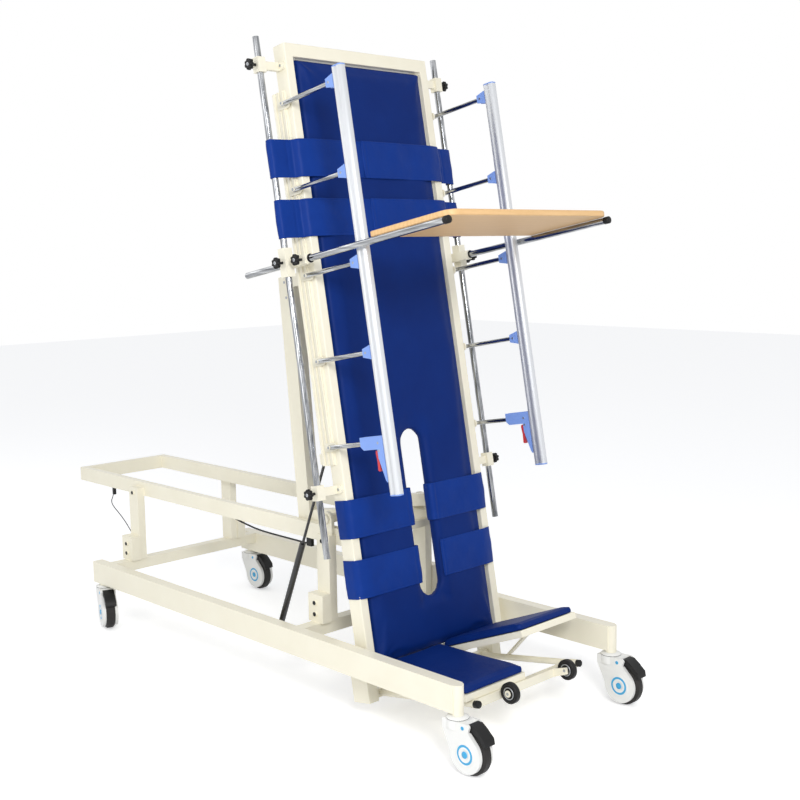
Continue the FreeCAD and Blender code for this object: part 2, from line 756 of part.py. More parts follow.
def make_connector(name, number, plane):
    """Wedge-shaped fork that carries the tip of one arm on the guard bar."""
    y = GUARD_FIRST - number * GUARD_PITCH
    label = f"connector_{name}_{number}"
    outline = [(y - S.connector_tip_half, TIP_Z - S.connector_nose), (y + S.connector_tip_half, TIP_Z - S.connector_nose),
               (y + S.connector_root_half, BAR_BACK), (y - S.connector_root_half, BAR_BACK)]
    pieces = fork(label, plane, outline)
    width = 2 * (S.arm_radius + S.fork_gap + S.fork_wall)
    pieces.append(block(f"{label}_web", centred(plane, width), centred(y, 2 * S.connector_root_half),
                        (BAR_BACK - S.fork_wall, BAR_BACK)))
    pieces.append(bar(f"{label}_pin", "x", S.arm_bore, centred(plane, width), (y, TIP_Z)))
    return join(label, pieces)


def make_latch(name, plane):
    """L-shaped latch housing round the lowest arm, open on its head side so that the arm swings out."""
    y = S.guard_last_y
    label = f"latch_{name}"
    rear = TIP_Z - S.latch_reach
    leg_rear = BAR_BACK - S.latch_leg_depth
    sill = y - S.arm_radius - S.body_gap
    under = y - S.latch_below
    foot = y + S.latch_above - S.latch_leg_length
    outline = [(y + S.latch_above, rear), (y + S.latch_above, BAR_BACK), (foot, BAR_BACK),
               (foot + S.latch_web, BAR_BACK - S.latch_web), (under - S.latch_leg_depth, leg_rear), (under, leg_rear),
               (under, rear + S.connector_nose), (sill, rear)]
    pieces = fork(label, plane, outline)
    width = 2 * (S.arm_radius + S.fork_gap + S.fork_wall)
    pieces.append(block(f"{label}_sill", centred(plane, width), (sill - S.latch_web, sill),
                        (rear + S.connector_nose, leg_rear - S.trigger_stand_off)))
    pieces.append(block(f"{label}_web", centred(plane, width), (foot + S.overrun, y + S.latch_above),
                        (BAR_BACK - S.fork_wall, BAR_BACK)))
    pieces.append(bar(f"{label}_pin", "x", S.arm_bore, centred(plane, width), (y, TIP_Z)))
    pieces.append(bar(f"{label}_trigger_pin", "x", S.trigger_pin_radius, centred(plane, width),
                      (y - S.trigger_pivot_drop, BAR_BACK - S.trigger_pivot_inset)))
    return join(label, pieces)


def make_trigger(name, plane):
    """Finger trigger on its pin in the latch, standing proud of the latch's leg."""
    y = S.guard_last_y - S.trigger_pivot_drop
    middle = BAR_BACK - S.trigger_pivot_inset
    half = S.trigger_depth / 2
    back = BAR_BACK - S.latch_leg_depth
    front = back - S.trigger_stand_off
    tail = y - S.trigger_length
    outline = [(y + half / 2, back + half / 2), (y + half, middle), (y + half / 2, middle + half), (y - half, middle + half),
               (y - 2 * half, back), (tail + half, back - half / 3), (tail, back - half), (tail + half / 2, back - 2 * half),
               (y - S.trigger_length / 2, front + half / 2), (y - half, front), (y, front + half / 3)]
    width = 2 * (S.arm_radius - S.body_gap)
    lever = prism(f"trigger_lever_{name}", "x", outline, centred(plane, width))
    hole = bar(f"trigger_hole_{name}", "x", S.trigger_pin_radius + S.running_gap, centred(plane, 2 * width), (y, middle))
    on_bed(carve(f"guard_trigger_{name}", lever, [hole]), f"guard_trigger_{name}")


def make_side_rods():
    """Long round rods beside the bed."""
    rods = [bar(f"side_rod_{name}", "y", S.rod_radius, (S.rod_foot_y, ROD_HEAD), (side * ROD_LINE, -S.rod_back))
            for name, side in SIDES.items()]
    on_bed(group("side_rods", rods), "side_rods")


def make_rod_clamps():
    """Four blocks that hold the rods, each with an arm and a round lug on the bed side."""
    solids = []
    for name, side in SIDES.items():
        for end, y in (("head", CLAMP_HEAD), ("foot", S.clamp_foot_y)):
            label = f"rod_clamp_{end}_{name}"
            outer = ROD_LINE + S.clamp_block / 2
            front = -S.rod_back + S.clamp_arm_wall / 2
            pieces = [
                block(f"{label}_block", sided(side, ROD_LINE - S.clamp_block / 2, outer),
                      centred(y, S.clamp_height), centred(-S.rod_back, S.clamp_block)),
                block(f"{label}_arm", sided(side, S.bed_half_width, ROD_LINE), centred(y, S.clamp_arm_height),
                      (front - S.clamp_arm_wall, front)),
                block(f"{label}_lug", sided(side, S.bed_half_width, S.bed_half_width + S.lug_wall),
                      centred(y, S.clamp_arm_height), (front - S.clamp_arm_wall, -S.lug_centre_back)),
                bar(f"{label}_lug_end", "x", S.clamp_arm_height / 2,
                    sided(side, S.bed_half_width, S.bed_half_width + S.lug_wall), (y, -S.lug_centre_back)),
                bar(f"{label}_bolt", "x", S.pin_head_radius,
                    sided(side, S.bed_half_width, S.bed_half_width + S.lug_wall + S.pin_head_height), (y, -S.lug_centre_back)),
            ]
            reach = centred(y, 2 * S.clamp_height)
            holes = [
                bar(f"{label}_bore", "y", S.rod_radius + S.running_gap, reach, (side * ROD_LINE, -S.rod_back)),
                bar(f"{label}_screw_hole", "x", S.knob_shaft_radius + S.running_gap,
                    sided(side, outer - S.knob_bite - S.body_gap, outer + S.overrun), (y, -S.rod_back)),
            ]
            solids.append(carve(label, join(f"{label}_body", pieces), holes))
    on_bed(group("rod_clamps", solids), "rod_clamps")


def make_tray_clamps():
    """Cross clamps: a sleeve on each side rod joined to a sleeve for each tray tube."""
    solids = []
    for name, side in SIDES.items():
        label = f"tray_clamp_{name}"
        outer = ROD_LINE + S.rod_sleeve / 2
        back = -S.rod_back - S.rod_sleeve / 2
        pieces = [
            block(f"{label}_rod_sleeve", sided(side, SLEEVE_FACE, outer), centred(TRAY_Y, S.rod_sleeve_height),
                  centred(-S.rod_back, S.rod_sleeve)),
            block(f"{label}_tube_sleeve", sided(side, TRAY_TUBE_LINE - S.tube_sleeve / 2, TRAY_TUBE_LINE + S.tube_sleeve / 2),
                  centred(TRAY_Y, S.tube_sleeve), (back, S.tube_sleeve_front)),
            bar(f"{label}_ring", "z", S.sleeve_ring_radius,
                (S.tube_sleeve_front, S.tube_sleeve_front + S.sleeve_ring), (side * TRAY_TUBE_LINE, TRAY_Y)),
        ]
        tube_face = TRAY_TUBE_LINE + S.tube_sleeve / 2
        holes = [
            bar(f"{label}_rod_bore", "y", S.rod_radius + S.body_gap, centred(TRAY_Y, 2 * S.rod_sleeve_height),
                (side * ROD_LINE, -S.rod_back)),
            bar(f"{label}_tube_bore", "z", S.tray_tube_radius + S.body_gap,
                (back - S.overrun, S.tube_sleeve_front + S.sleeve_ring + S.overrun), (side * TRAY_TUBE_LINE, TRAY_Y)),
            bar(f"{label}_rod_screw", "x", S.knob_shaft_radius + S.running_gap,
                sided(side, outer - S.knob_bite - S.body_gap, outer + S.overrun), (TRAY_Y, -S.rod_back)),
            bar(f"{label}_tube_screw", "x", S.knob_shaft_radius + S.running_gap,
                sided(side, tube_face - S.knob_bite + S.running_gap, tube_face + S.overrun), (TRAY_Y, S.tray_knob_front)),
        ]
        solids.append(carve(label, join(f"{label}_body", pieces), holes))
    on_bed(group("tray_clamps", solids), "tray_clamps")


def make_knob(label, side, face, y, z, bite):
    """Fluted star knob on a short screw that points out from a clamp face."""
    start = face - bite
    neck = face + S.knob_shaft_length
    crown = neck + S.knob_depth
    pieces = [
        bar(f"{label}_screw", "x", S.knob_shaft_radius, sided(side, start, neck + S.overrun), (y, z)),
        bar(f"{label}_head", "x", S.knob_radius, sided(side, neck, crown), (y, z)),
    ]
    flutes = []
    for number in range(6):
        angle = math.radians(60 * number)
        flutes.append(bar(f"{label}_flute_{number}", "x", S.knob_flute_radius,
                          sided(side, neck - S.overrun, crown + S.overrun),
                          (y + math.cos(angle) * S.knob_radius, z + math.sin(angle) * S.knob_radius)))
    on_bed(carve(label, join(f"{label}_body", pieces), flutes), label)


def make_knobs():
    """Two knobs on the rod clamps and two on the cross clamp of each side."""
    for name, side in SIDES.items():
        face = ROD_LINE + S.clamp_block / 2
        make_knob(f"clamp_knob_head_{name}", side, face, CLAMP_HEAD, -S.rod_back, S.knob_bite)
        make_knob(f"clamp_knob_foot_{name}", side, face, S.clamp_foot_y, -S.rod_back, S.knob_bite)
        face = ROD_LINE + S.rod_sleeve / 2
        make_knob(f"height_knob_{name}", side, face, TRAY_Y, -S.rod_back, S.knob_bite)
        face = TRAY_TUBE_LINE + S.tube_sleeve / 2
        make_knob(f"reach_knob_{name}", side, face, TRAY_Y, S.tray_knob_front, S.knob_bite - S.body_gap)


def make_tray():
    """Tray tubes and the board with rounded front corners that lies on them."""
    tubes = [bar(f"tray_tube_{name}", "z", S.tray_tube_radius, (-S.tray_tube_back, S.tray_tube_front),
                 (side * TRAY_TUBE_LINE, TRAY_Y)) for name, side in SIDES.items()]
    on_bed(group("tray_tubes", tubes), "tray_tubes")
    slab = block("board_slab", (-BOARD_HALF, BOARD_HALF),
                 (BOARD_SEAT, BOARD_SEAT + S.board_thickness), (S.board_back, S.board_front))
    front = S.board_front.value

    def corner(edge):
        return long_edge("y")(edge) and abs(edge.Vertexes[0].Z - front) < 1e-6

    rounded = round_edges("board_corners", slab, S.board_corner, corner)
    low = BOARD_SEAT.value
    high = low + S.board_thickness.value

    def rim(edge):
        heights = [vertex.Y for vertex in edge.Vertexes]
        return max(heights) - min(heights) < 1e-6 and min(abs(heights[0] - low), abs(heights[0] - high)) < 1e-6

    on_bed(bevel_edges("tray_board", rounded, S.board_edge_round, rim), "tray_board")


def make_upper_straps():
    """Two body straps over the pad, each end hooked round the outside of its side rod."""
    solids = []
    lift = S.pad_rise + S.body_gap
    gap = S.body_gap
    skin = S.strap_thickness
    ring = S.rod_radius + gap
    for number, y in enumerate((UPPER_STRAP, LOWER_STRAP)):
        right = [
            (PAD_HALF, lift), (S.bed_half_width + gap, gap),
            (S.bed_half_width + 2 * skin, -S.strap_dip - skin),
            (ROD_LINE + ring / 2, ring - S.rod_back), (ROD_LINE + ring, ring / 2 - S.rod_back),
            (ROD_LINE + ring, -S.rod_back - ring / 2), (ROD_LINE + ring / 2, -S.rod_back - ring),
            (ROD_LINE - ring / 2, -S.rod_back - ring), (ROD_LINE - ring, -S.rod_back - ring / 2),
            (ROD_LINE - ring, ring / 4 - S.rod_back),
        ]
        wide = ring + skin
        outside = [
            (ROD_LINE - wide, ring / 4 - S.rod_back), (ROD_LINE - wide, -S.rod_back - wide / 2),
            (ROD_LINE - wide / 2, -S.rod_back - wide), (ROD_LINE + wide / 2, -S.rod_back - wide),
            (ROD_LINE + wide, -S.rod_back - wide / 2), (ROD_LINE + wide, wide / 2 - S.rod_back),
            (ROD_LINE + wide / 2, wide - S.rod_back), (S.bed_half_width + 3 * skin, -S.strap_dip),
            (S.bed_half_width + gap + skin / 2, gap + skin), (PAD_HALF, lift + skin),
        ]
        under = [(-a, b) for a, b in reversed(right)]
        over = [(-a, b) for a, b in reversed(outside)]
        outline = under + right + outside + over
        solids.append(prism(f"body_strap_{number}", "y", outline, (y, y + S.strap_width)))
    on_bed(group("body_straps", solids), "body_straps")


def make_leg_straps():
    """Four leg straps, each from behind the bed side, over a leg pad and down into the slot."""
    solids = []
    lift = S.pad_rise + S.body_gap
    gap = S.body_gap
    skin = S.strap_thickness
    side_face = S.bed_half_width + gap
    back = S.side_tube_depth + gap
    slot_face = S.slot_half_width - gap
    inner = [(S.bed_half_width - S.side_tube_width / 2, -back), (side_face, -back), (side_face, gap),
             (PAD_HALF, lift), (slot_face, lift), (slot_face, lift - S.strap_tuck)]
    outer = [(slot_face - skin, lift - S.strap_tuck), (slot_face - skin, lift + skin),
             (PAD_HALF, lift + skin), (side_face + skin, gap + skin / 2),
             (side_face + skin, -back - skin), (S.bed_half_width - S.side_tube_width / 2, -back - skin)]
    for number, y in enumerate((S.thigh_strap_y, S.shin_strap_y)):
        for name, side in SIDES.items():
            outline = [(side * as_size(a), b) for a, b in inner + outer]
            solids.append(prism(f"leg_strap_{name}_{number}", "y", outline, (y, y + S.strap_width)))
    on_bed(group("leg_straps", solids), "leg_straps")


def make_foot_support():
    """Foot tubes, cross bars, hinge rail with fixed knuckles, and the roller plates with axles."""
    inner = S.bed_half_width - S.foot_block_width
    tube_back = -S.side_tube_depth + S.foot_cross / 2
    bar_back = S.foot_bar_front - S.foot_cross
    rail_front = S.foot_hinge_z - S.knuckle_radius - S.body_gap
    pieces = [
        block("foot_cross_rear", (-inner, inner), centred(S.foot_tube_y, S.foot_cross),
              (tube_back - S.foot_cross, tube_back)),
        block("foot_cross_front", (-FOOT_TUBE_LINE, FOOT_TUBE_LINE), centred(S.foot_tube_y, S.foot_cross),
              (bar_back, S.foot_bar_front)),
        block("hinge_rail", (-inner, inner), (S.foot_hinge_y - S.hinge_rail_height, S.foot_hinge_y + S.knuckle_radius),
              (rail_front - S.hinge_rail_depth, rail_front)),
    ]
    for name, side in SIDES.items():
        line = side * FOOT_TUBE_LINE
        pieces.append(bar(f"foot_tube_{name}", "z", S.foot_tube_radius, (tube_back - S.foot_cross / 2, S.foot_tube_front),
                          (line, S.foot_tube_y)))
        pieces.append(bar(f"hinge_pin_{name}", "x", S.hinge_pin_radius, sided(side, S.plate_gap, PLATE_SPAN),
                          (S.foot_hinge_y, S.foot_hinge_z)))
        span = (PLATE_SPAN - S.plate_gap) / 7
        for place in (1, 5):
            low = S.plate_gap + place * span
            reach = sided(side, low, low + span)
            pieces.append(bar(f"fixed_knuckle_{name}_{place}", "x", S.knuckle_radius, reach,
                              (S.foot_hinge_y, S.foot_hinge_z)))
            pieces.append(block(f"fixed_tab_{name}_{place}", reach,
                                (S.foot_hinge_y - S.knuckle_radius / 2, S.foot_hinge_y + S.knuckle_radius / 2),
                                (rail_front - S.overrun, S.foot_hinge_z)))
        plate_face = S.roller_line - S.roller_width / 2 - S.body_gap
        pieces.append(prism(f"roller_plate_{name}", "x", [
            (S.foot_tube_y - S.foot_cross / 2, bar_back), (S.foot_tube_y + S.foot_cross / 2, bar_back),
            (S.foot_tube_y + S.foot_cross / 2, S.foot_bar_front),
            (S.roller_y + S.roller_axle_radius * 2, S.roller_z + S.roller_axle_radius * 2),
            (S.roller_y - S.roller_axle_radius * 2, S.roller_z + S.roller_axle_radius * 2),
            (S.foot_tube_y - S.foot_cross / 2, S.foot_bar_front)],
            sided(side, plate_face - S.roller_plate, plate_face)))
        tip = S.roller_line + S.roller_width / 2 + S.body_gap
        pieces.append(bar(f"roller_axle_{name}", "x", S.roller_axle_radius, sided(side, plate_face - S.overrun, tip + S.overrun),
                          (S.roller_y, S.roller_z)))
        pieces.append(bar(f"roller_axle_head_{name}", "x", 2 * S.roller_axle_radius, sided(side, tip, tip + S.pin_head_height),
                          (S.roller_y, S.roller_z)))
    on_bed(join("foot_support", pieces), "foot_support")


def make_rollers():
    """Small rollers under the front of the foot support."""
    for name, side in SIDES.items():
        span = centred(side * S.roller_line, S.roller_width)
        wheel = bar(f"roller_disc_{name}", "x", S.roller_radius, span, (S.roller_y, S.roller_z))
        groove = centred(side * S.roller_line, 2 * S.roller_width)
        bore = bar(f"roller_bore_{name}", "x", S.roller_axle_radius + S.running_gap, groove, (S.roller_y, S.roller_z))
        on_bed(carve(f"foot_roller_{name}", wheel, [bore]), f"foot_roller_{name}")


def on_plate(item, label, rise):
    """Register a piece that lies in the frame of a foot plate: -y outwards, z up."""
    origin = bed_point(as_size(0), S.foot_hinge_y, S.foot_hinge_z)
    item.Placement = Placement(origin, Rotation(Vector(1, 0, 0), -rise.value))
    return keep(item, label)


def make_foot_plates():
    """Folded steel trays with their knuckles, and the upholstered pads on them."""
    for name, side, rise in (("left", -1, S.left_plate_rise), ("right", 1, S.right_plate_rise)):
        across = sided(side, S.plate_gap / 2, PLATE_SPAN)
        along = (-S.plate_reach, -S.plate_start)
        pan = block(f"plate_pan_{name}", across, along, (-S.plate_rim, 0))
        wall = S.plate_wall
        hollow = block(f"plate_hollow_{name}", (across[0] + wall, across[1] - wall), (along[0] + wall, along[1] - wall),
                       (-S.plate_rim - S.overrun, -wall))
        pieces = [carve(f"plate_shell_{name}", pan, [hollow])]
        span = (PLATE_SPAN - S.plate_gap) / 7
        for place in (2, 4):
            low = S.plate_gap + place * span + S.body_gap
            reach = sided(side, low, low + span - 2 * S.body_gap)
            pieces.append(bar(f"plate_knuckle_{name}_{place}", "x", S.knuckle_radius, reach, (0, 0)))
            pieces.append(block(f"plate_tab_{name}_{place}", reach, (-S.plate_start - S.plate_wall, 0),
                                (-S.knuckle_radius, -S.knuckle_radius + S.plate_wall)))
        if name == "right":
            clear = S.prop_width / 2 + S.body_gap
            for number, way in enumerate((-1, 1)):
                low, high = sided(way, clear, clear + S.prop_lug_wall)
                pieces.append(block(f"prop_lug_{number}", (FOOT_TUBE_LINE + low, FOOT_TUBE_LINE + high),
                                    centred(-S.prop_reach, 2 * S.prop_head_radius),
                                    (-S.plate_rim - S.prop_head_radius, -wall / 2)))
            pieces.append(bar("prop_pin", "x", S.prop_head_radius / 2,
                              (FOOT_TUBE_LINE - clear - S.overrun, FOOT_TUBE_LINE + clear + S.overrun),
                              (-S.prop_reach, -S.plate_rim)))
        bore = bar(f"plate_bore_{name}", "x", S.hinge_pin_radius + S.running_gap,
                   sided(side, 0, PLATE_SPAN + S.overrun), (0, 0))
        on_plate(carve(f"foot_plate_{name}", join(f"plate_body_{name}", pieces), [bore]), f"foot_plate_{name}", rise)
        slab = block(f"foot_pad_slab_{name}", across, along, (S.body_gap, S.body_gap + S.foot_pad_thickness))
        top = S.body_gap.value + S.foot_pad_thickness.value

        def upper(edge, top=top):
            return all(abs(vertex.Z - top) < 1e-6 for vertex in edge.Vertexes)

        on_plate(round_edges(f"foot_pad_{name}", slab, S.foot_pad_round, upper), f"foot_pad_{name}", rise)


def make_foot_prop():
    """Stay under the raised foot plate: it hangs on a pin between two lugs and stands on the foot tube."""
    width = centred(FOOT_TUBE_LINE, S.prop_width)
    link = block("prop_link", width, centred(0, S.prop_wall), (-S.prop_length, 0))
    head = bar("prop_head", "x", S.prop_head_radius, width, (0, 0))
    foot = bar("prop_foot", "x", S.prop_wall / 2, width, (0, -S.prop_length))
    hole = bar("prop_hole", "x", S.prop_head_radius / 2 + S.running_gap, centred(FOOT_TUBE_LINE, 2 * S.prop_width), (0, 0))
    piece = carve("foot_prop", join("foot_prop_body", [link, head, foot]), [hole])
    angle = math.radians(S.right_plate_rise.value)
    reach = S.prop_reach.value
    drop = S.plate_rim.value
    hinge = bed_point(as_size(0), S.foot_hinge_y, S.foot_hinge_z)
    place = Vector(0, hinge.y - reach * math.cos(angle) - drop * math.sin(angle),
                   hinge.z + reach * math.sin(angle) - drop * math.cos(angle))
    piece.Placement = Placement(place, Rotation(Vector(1, 0, 0), S.prop_angle.value))
    keep(piece, "foot_prop")


def strut_frame():
    """Placement whose z axis runs from the strut's base pin to its top pin, and the distance between them."""
    top = bed_point(as_size(0), S.strut_top_y, -S.strut_top_back)
    base = Vector(0, S.strut_base_y.value, S.strut_base_z.value)
    run = top - base
    lean = math.degrees(math.atan2(-run.y, run.z))
    place = Placement(Vector(-STRUT_LINE.value, base.y, base.z), Rotation(Vector(1, 0, 0), lean))
    return place, run.Length


def make_gas_strut():
    """Gas strut: a cylinder on the base and a piston rod that ends at the bed bracket."""
    place, length = strut_frame()
    width = centred(0, S.strut_eye_width)
    eye = bar("strut_eye", "x", S.strut_eye_radius, width, (0, 0))
    tube = bar("strut_tube", "z", S.strut_radius, (S.strut_cap, S.strut_body), (0, 0))
    neck = bar("strut_neck", "z", S.strut_rod_radius + S.overrun, (2 * S.strut_pin_radius, S.strut_cap + S.overrun), (0, 0))
    bore = bar("strut_bore", "z", S.strut_radius - S.strut_wall,
               (2 * S.strut_cap, S.strut_body - S.gland_length), (0, 0))
    gland = bar("strut_gland", "z", S.strut_rod_radius + S.running_gap,
                (S.strut_body - 2 * S.gland_length, S.strut_body + S.overrun), (0, 0))
    hole = bar("strut_eye_hole", "x", S.strut_pin_radius + S.running_gap, centred(0, 2 * S.strut_eye_width), (0, 0))
    cylinder = carve("strut_cylinder", join("strut_cylinder_body", [eye, tube, neck]), [bore, gland, hole])
    cylinder.Placement = place
    keep(cylinder, "strut_cylinder")
    total = Size(length, repr(length))
    piston = S.strut_body - S.piston_drop
    rod = bar("strut_shaft", "z", S.strut_rod_radius, (piston, total - S.strut_rod_radius), (0, 0))
    disc = bar("strut_piston", "z", S.strut_radius - S.strut_wall - S.body_gap,
               (piston, piston + S.piston_length), (0, 0))
    end = bar("strut_rod_eye", "x", S.strut_eye_radius, width, (0, total))
    hole = bar("strut_rod_hole", "x", S.strut_pin_radius, centred(0, 2 * S.strut_eye_width), (0, total))
    shaft = carve("strut_rod", join("strut_rod_body", [rod, disc, end]), [hole])
    shaft.Placement = place
    keep(shaft, "strut_rod")


def make_caster(end, name, swivel):
    """Housing with dome and axle, wheel and brake pedal of one caster, trailing towards the foot end."""
    side = SIDES[name]
    y = S.front_stem_y if end == "front" else S.rear_stem_y
    place = Placement(Vector(side * STEM_LINE.value, y.value, 0), Rotation(Vector(0, 0, 1), swivel))
    tag = f"{end}_{name}"
    axle_y = -S.caster_trail
    axle = (axle_y, S.wheel_radius)
    half = S.housing_half_width
    crown = S.dome_bottom + S.dome_height
    chin = math.radians(45)
    skirt = [(axle_y - S.housing_radius * math.sin(chin), S.wheel_radius + S.housing_radius * math.cos(chin)),
             (axle_y + S.housing_radius, S.wheel_radius), (S.dome_radius, S.dome_bottom), (S.dome_radius, crown),
             (axle_y + S.nose_setback, crown)]
    disc = bar(f"housing_disc_{tag}", "x", S.housing_radius, (-half, half), axle)
    web = prism(f"housing_web_{tag}", "x", skirt, (-half, half))
    shell = join(f"housing_shell_{tag}", [disc, web])
    pieces = [shell]
    pieces.append(bar(f"housing_dome_{tag}", "z", S.dome_radius, (S.dome_bottom, S.dome_bottom + S.dome_height), (0, 0)))
    top = FLOOR - S.sleeve_drop - S.body_gap
    pieces.append(bar(f"housing_neck_{tag}", "z", S.neck_radius, (S.dome_bottom, top), (0, 0)))
    for number, way in enumerate((-1, 1)):
        face = sided(way, S.housing_slot_half + S.pedal_half_width / 5, half)
        ear = (axle_y - S.pedal_pivot_ahead, S.wheel_radius + S.pedal_pivot_up)
        pieces.append(bar(f"housing_ear_{number}_{tag}", "x", S.pedal_ear_radius, face, ear))
        pieces.append(prism(f"housing_ear_web_{number}_{tag}", "x", [
            (ear[0], ear[1] + S.pedal_ear_radius), (-S.dome_radius / 2, crown), (-S.dome_radius / 2, S.dome_bottom),
            (ear[0], S.dome_bottom - S.pedal_ear_radius), (ear[0] - S.pedal_ear_radius, ear[1])], face))
    slot = bar(f"housing_slot_{tag}", "x", S.housing_slot_radius,
               (-S.housing_slot_half, S.housing_slot_half), axle)
    mouth = block(f"housing_mouth_{tag}", (-S.pedal_half_width - S.body_gap, S.pedal_half_width + S.body_gap),
                  (axle_y - S.pedal_pivot_ahead - 6 * S.pedal_hub_radius, axle_y - S.pedal_pivot_ahead + S.pedal_hub_radius + S.body_gap),
                  (S.wheel_radius + S.pedal_pivot_up - S.pedal_ear_radius * 2, S.wheel_radius + S.pedal_pivot_up + S.pedal_ear_radius))
    hollow = carve(f"housing_hollow_{tag}", join(f"housing_body_{tag}", pieces), [slot, mouth])
    stem = bar(f"housing_stem_{tag}", "z", S.caster_stem_radius, (top - S.overrun, FLOOR + S.caster_stem_length - S.overrun), (0, 0))
    shaft = bar(f"housing_axle_{tag}", "x", S.wheel_axle_radius, (-half, half), axle)
    pin = bar(f"housing_pedal_pin_{tag}", "x", S.trigger_pin_radius, (-half, half),
              (axle_y - S.pedal_pivot_ahead, S.wheel_radius + S.pedal_pivot_up))
    housing = join(f"caster_housing_{tag}", [hollow, stem, shaft, pin])
    housing.Placement = place
    keep(housing, f"caster_housing_{tag}")
    tyre = bar(f"wheel_disc_{tag}", "x", S.wheel_radius, centred(0, S.wheel_width), axle)

    def shoulder_edge(edge):
        return abs(edge.Curve.Radius - S.wheel_radius.value) < 1e-6 if isinstance(edge.Curve, Part.Circle) else False

    tread = bevel_edges(f"wheel_tread_{tag}", tyre, S.tread_round, shoulder_edge)
    bore = bar(f"wheel_bore_{tag}", "x", S.wheel_axle_radius + S.running_gap, centred(0, 2 * S.wheel_width), axle)
    wheel = carve(f"caster_wheel_{tag}", tread, [bore])
    wheel.Placement = place
    keep(wheel, f"caster_wheel_{tag}")
    pedal = make_pedal(tag)
    pedal.Placement = place
    keep(pedal, f"caster_pedal_{tag}")


def make_pedal(tag):
    """Stepped brake pedal that reaches over the front of the wheel."""
    pivot_y = -S.caster_trail - S.pedal_pivot_ahead
    pivot_z = S.wheel_radius + S.pedal_pivot_up
    ring = S.housing_slot_radius + S.body_gap
    inner = []
    for degrees in (76, 58, 42, 28):
        angle = math.radians(degrees)
        inner.append((-S.caster_trail - ring * (1.03 * math.cos(angle)), S.wheel_radius + ring * (1.03 * math.sin(angle))))
    depth = S.pedal_hub_radius
    outer = [(inner[3][0] - depth, inner[3][1] + depth / 2), (inner[2][0] - 2 * depth, inner[2][1] + depth),
             (inner[1][0] - depth * 2, inner[1][1] + depth), (inner[1][0] - depth, inner[1][1] + 2 * depth),
             (inner[0][0] - depth, pivot_z + depth), (pivot_y, pivot_z + depth)]
    lever = prism(f"pedal_lever_{tag}", "x", inner + outer, (-S.pedal_half_width, S.pedal_half_width))
    hub = bar(f"pedal_hub_{tag}", "x", S.pedal_hub_radius, (-S.pedal_half_width, S.pedal_half_width), (pivot_y, pivot_z))
    hole = bar(f"pedal_hole_{tag}", "x", S.trigger_pin_radius + S.running_gap,
               (-S.pedal_half_width - S.overrun, S.pedal_half_width + S.overrun), (pivot_y, pivot_z))
    return carve(f"caster_pedal_{tag}", join(f"pedal_body_{tag}", [lever, hub]), [hole])


def check_and_write():
    """Recompute, check every object and write one file for each node."""
    doc.recompute()
    for item in doc.Objects:
        if "Invalid" in item.State or "Error" in item.State:
            raise RuntimeError(f"{item.Name}: {item.State} {item.getStatusString()}")
    os.makedirs("parts", exist_ok=True)
    for item in NODES:
        shape = item.Shape
        if shape.isNull() or not shape.isValid() or not shape.Solids:
            raise RuntimeError(f"{item.Label}: bad shape")
        shape.exportStep(f"parts/{item.Label}.step")
    print(len(NODES), "nodes written")


make_base_frame()
make_upper_frame()
make_release_cable()
make_bed_frame()
make_lift_frame()
make_bed_pad()
make_guard_beams()
for rail_name, rail_side in SIDES.items():
    make_guard(rail_name, rail_side)
make_side_rods()
make_rod_clamps()
make_tray_clamps()
make_knobs()
make_tray()
make_upper_straps()
make_leg_straps()
make_foot_support()
make_rollers()
make_foot_plates()
make_foot_prop()
make_gas_strut()
make_caster("front", "left", 0)
make_caster("front", "right", 0)
make_caster("rear", "left", S.rear_left_swivel.value)
make_caster("rear", "right", 0)
check_and_write()
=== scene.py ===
import logging
import math
from dataclasses import dataclass, field
from enum import Enum
from typing import Callable, Iterable, Optional, Sequence

import bmesh
import bpy
from mathutils import Matrix, Vector, noise


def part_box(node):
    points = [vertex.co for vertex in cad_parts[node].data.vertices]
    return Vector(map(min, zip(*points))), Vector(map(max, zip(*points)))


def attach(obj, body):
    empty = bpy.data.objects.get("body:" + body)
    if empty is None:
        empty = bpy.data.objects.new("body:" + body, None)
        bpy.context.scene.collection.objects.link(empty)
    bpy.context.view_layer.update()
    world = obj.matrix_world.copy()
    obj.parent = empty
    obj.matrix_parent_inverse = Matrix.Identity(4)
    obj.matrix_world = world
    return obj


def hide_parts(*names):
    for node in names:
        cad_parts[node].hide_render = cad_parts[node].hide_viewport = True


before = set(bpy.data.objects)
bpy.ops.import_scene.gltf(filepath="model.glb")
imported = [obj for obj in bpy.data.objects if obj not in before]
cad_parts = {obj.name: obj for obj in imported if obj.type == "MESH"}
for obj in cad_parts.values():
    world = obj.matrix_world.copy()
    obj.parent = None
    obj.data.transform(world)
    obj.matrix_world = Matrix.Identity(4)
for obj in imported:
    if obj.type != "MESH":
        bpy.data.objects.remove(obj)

LOG = logging.getLogger("tilt_table")
MM = 0.001
Point = tuple[float, float]
Place = tuple[float, float, float]
Item, Mesh, Tree, Socket = bpy.types.Object, bpy.types.Mesh, bpy.types.NodeTree, bpy.types.NodeSocket
Work = bmesh.types.BMesh
Fill = Callable[[Work], None]

# Distances in metres within which vertices are one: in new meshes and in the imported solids.
MERGE = 1e-6
CAD_MERGE = 2e-5
# Angles below which neighbouring faces are one, and above which an edge of a solid is rounded.
FLAT_ANGLE = math.radians(1.0)
SHARP_ANGLE = math.radians(40)
# Stems of the casters: distance from the middle plane, place along the table, and swivel in degrees.
STEM_LINE = 349.0
STEM_ENDS = (("front", -1070.0), ("rear", 775.0))


class Side(Enum):
    """The two long sides of the table, with the sign of X on each."""

    LEFT = -1
    RIGHT = 1

    @property
    def word(self) -> str:
        """The side's word in node names."""
        return self.name.lower()


class Facing(Enum):
    """Directions that a screw head can face."""

    LEFT = (-1.0, 0.0, 0.0)
    RIGHT = (1.0, 0.0, 0.0)


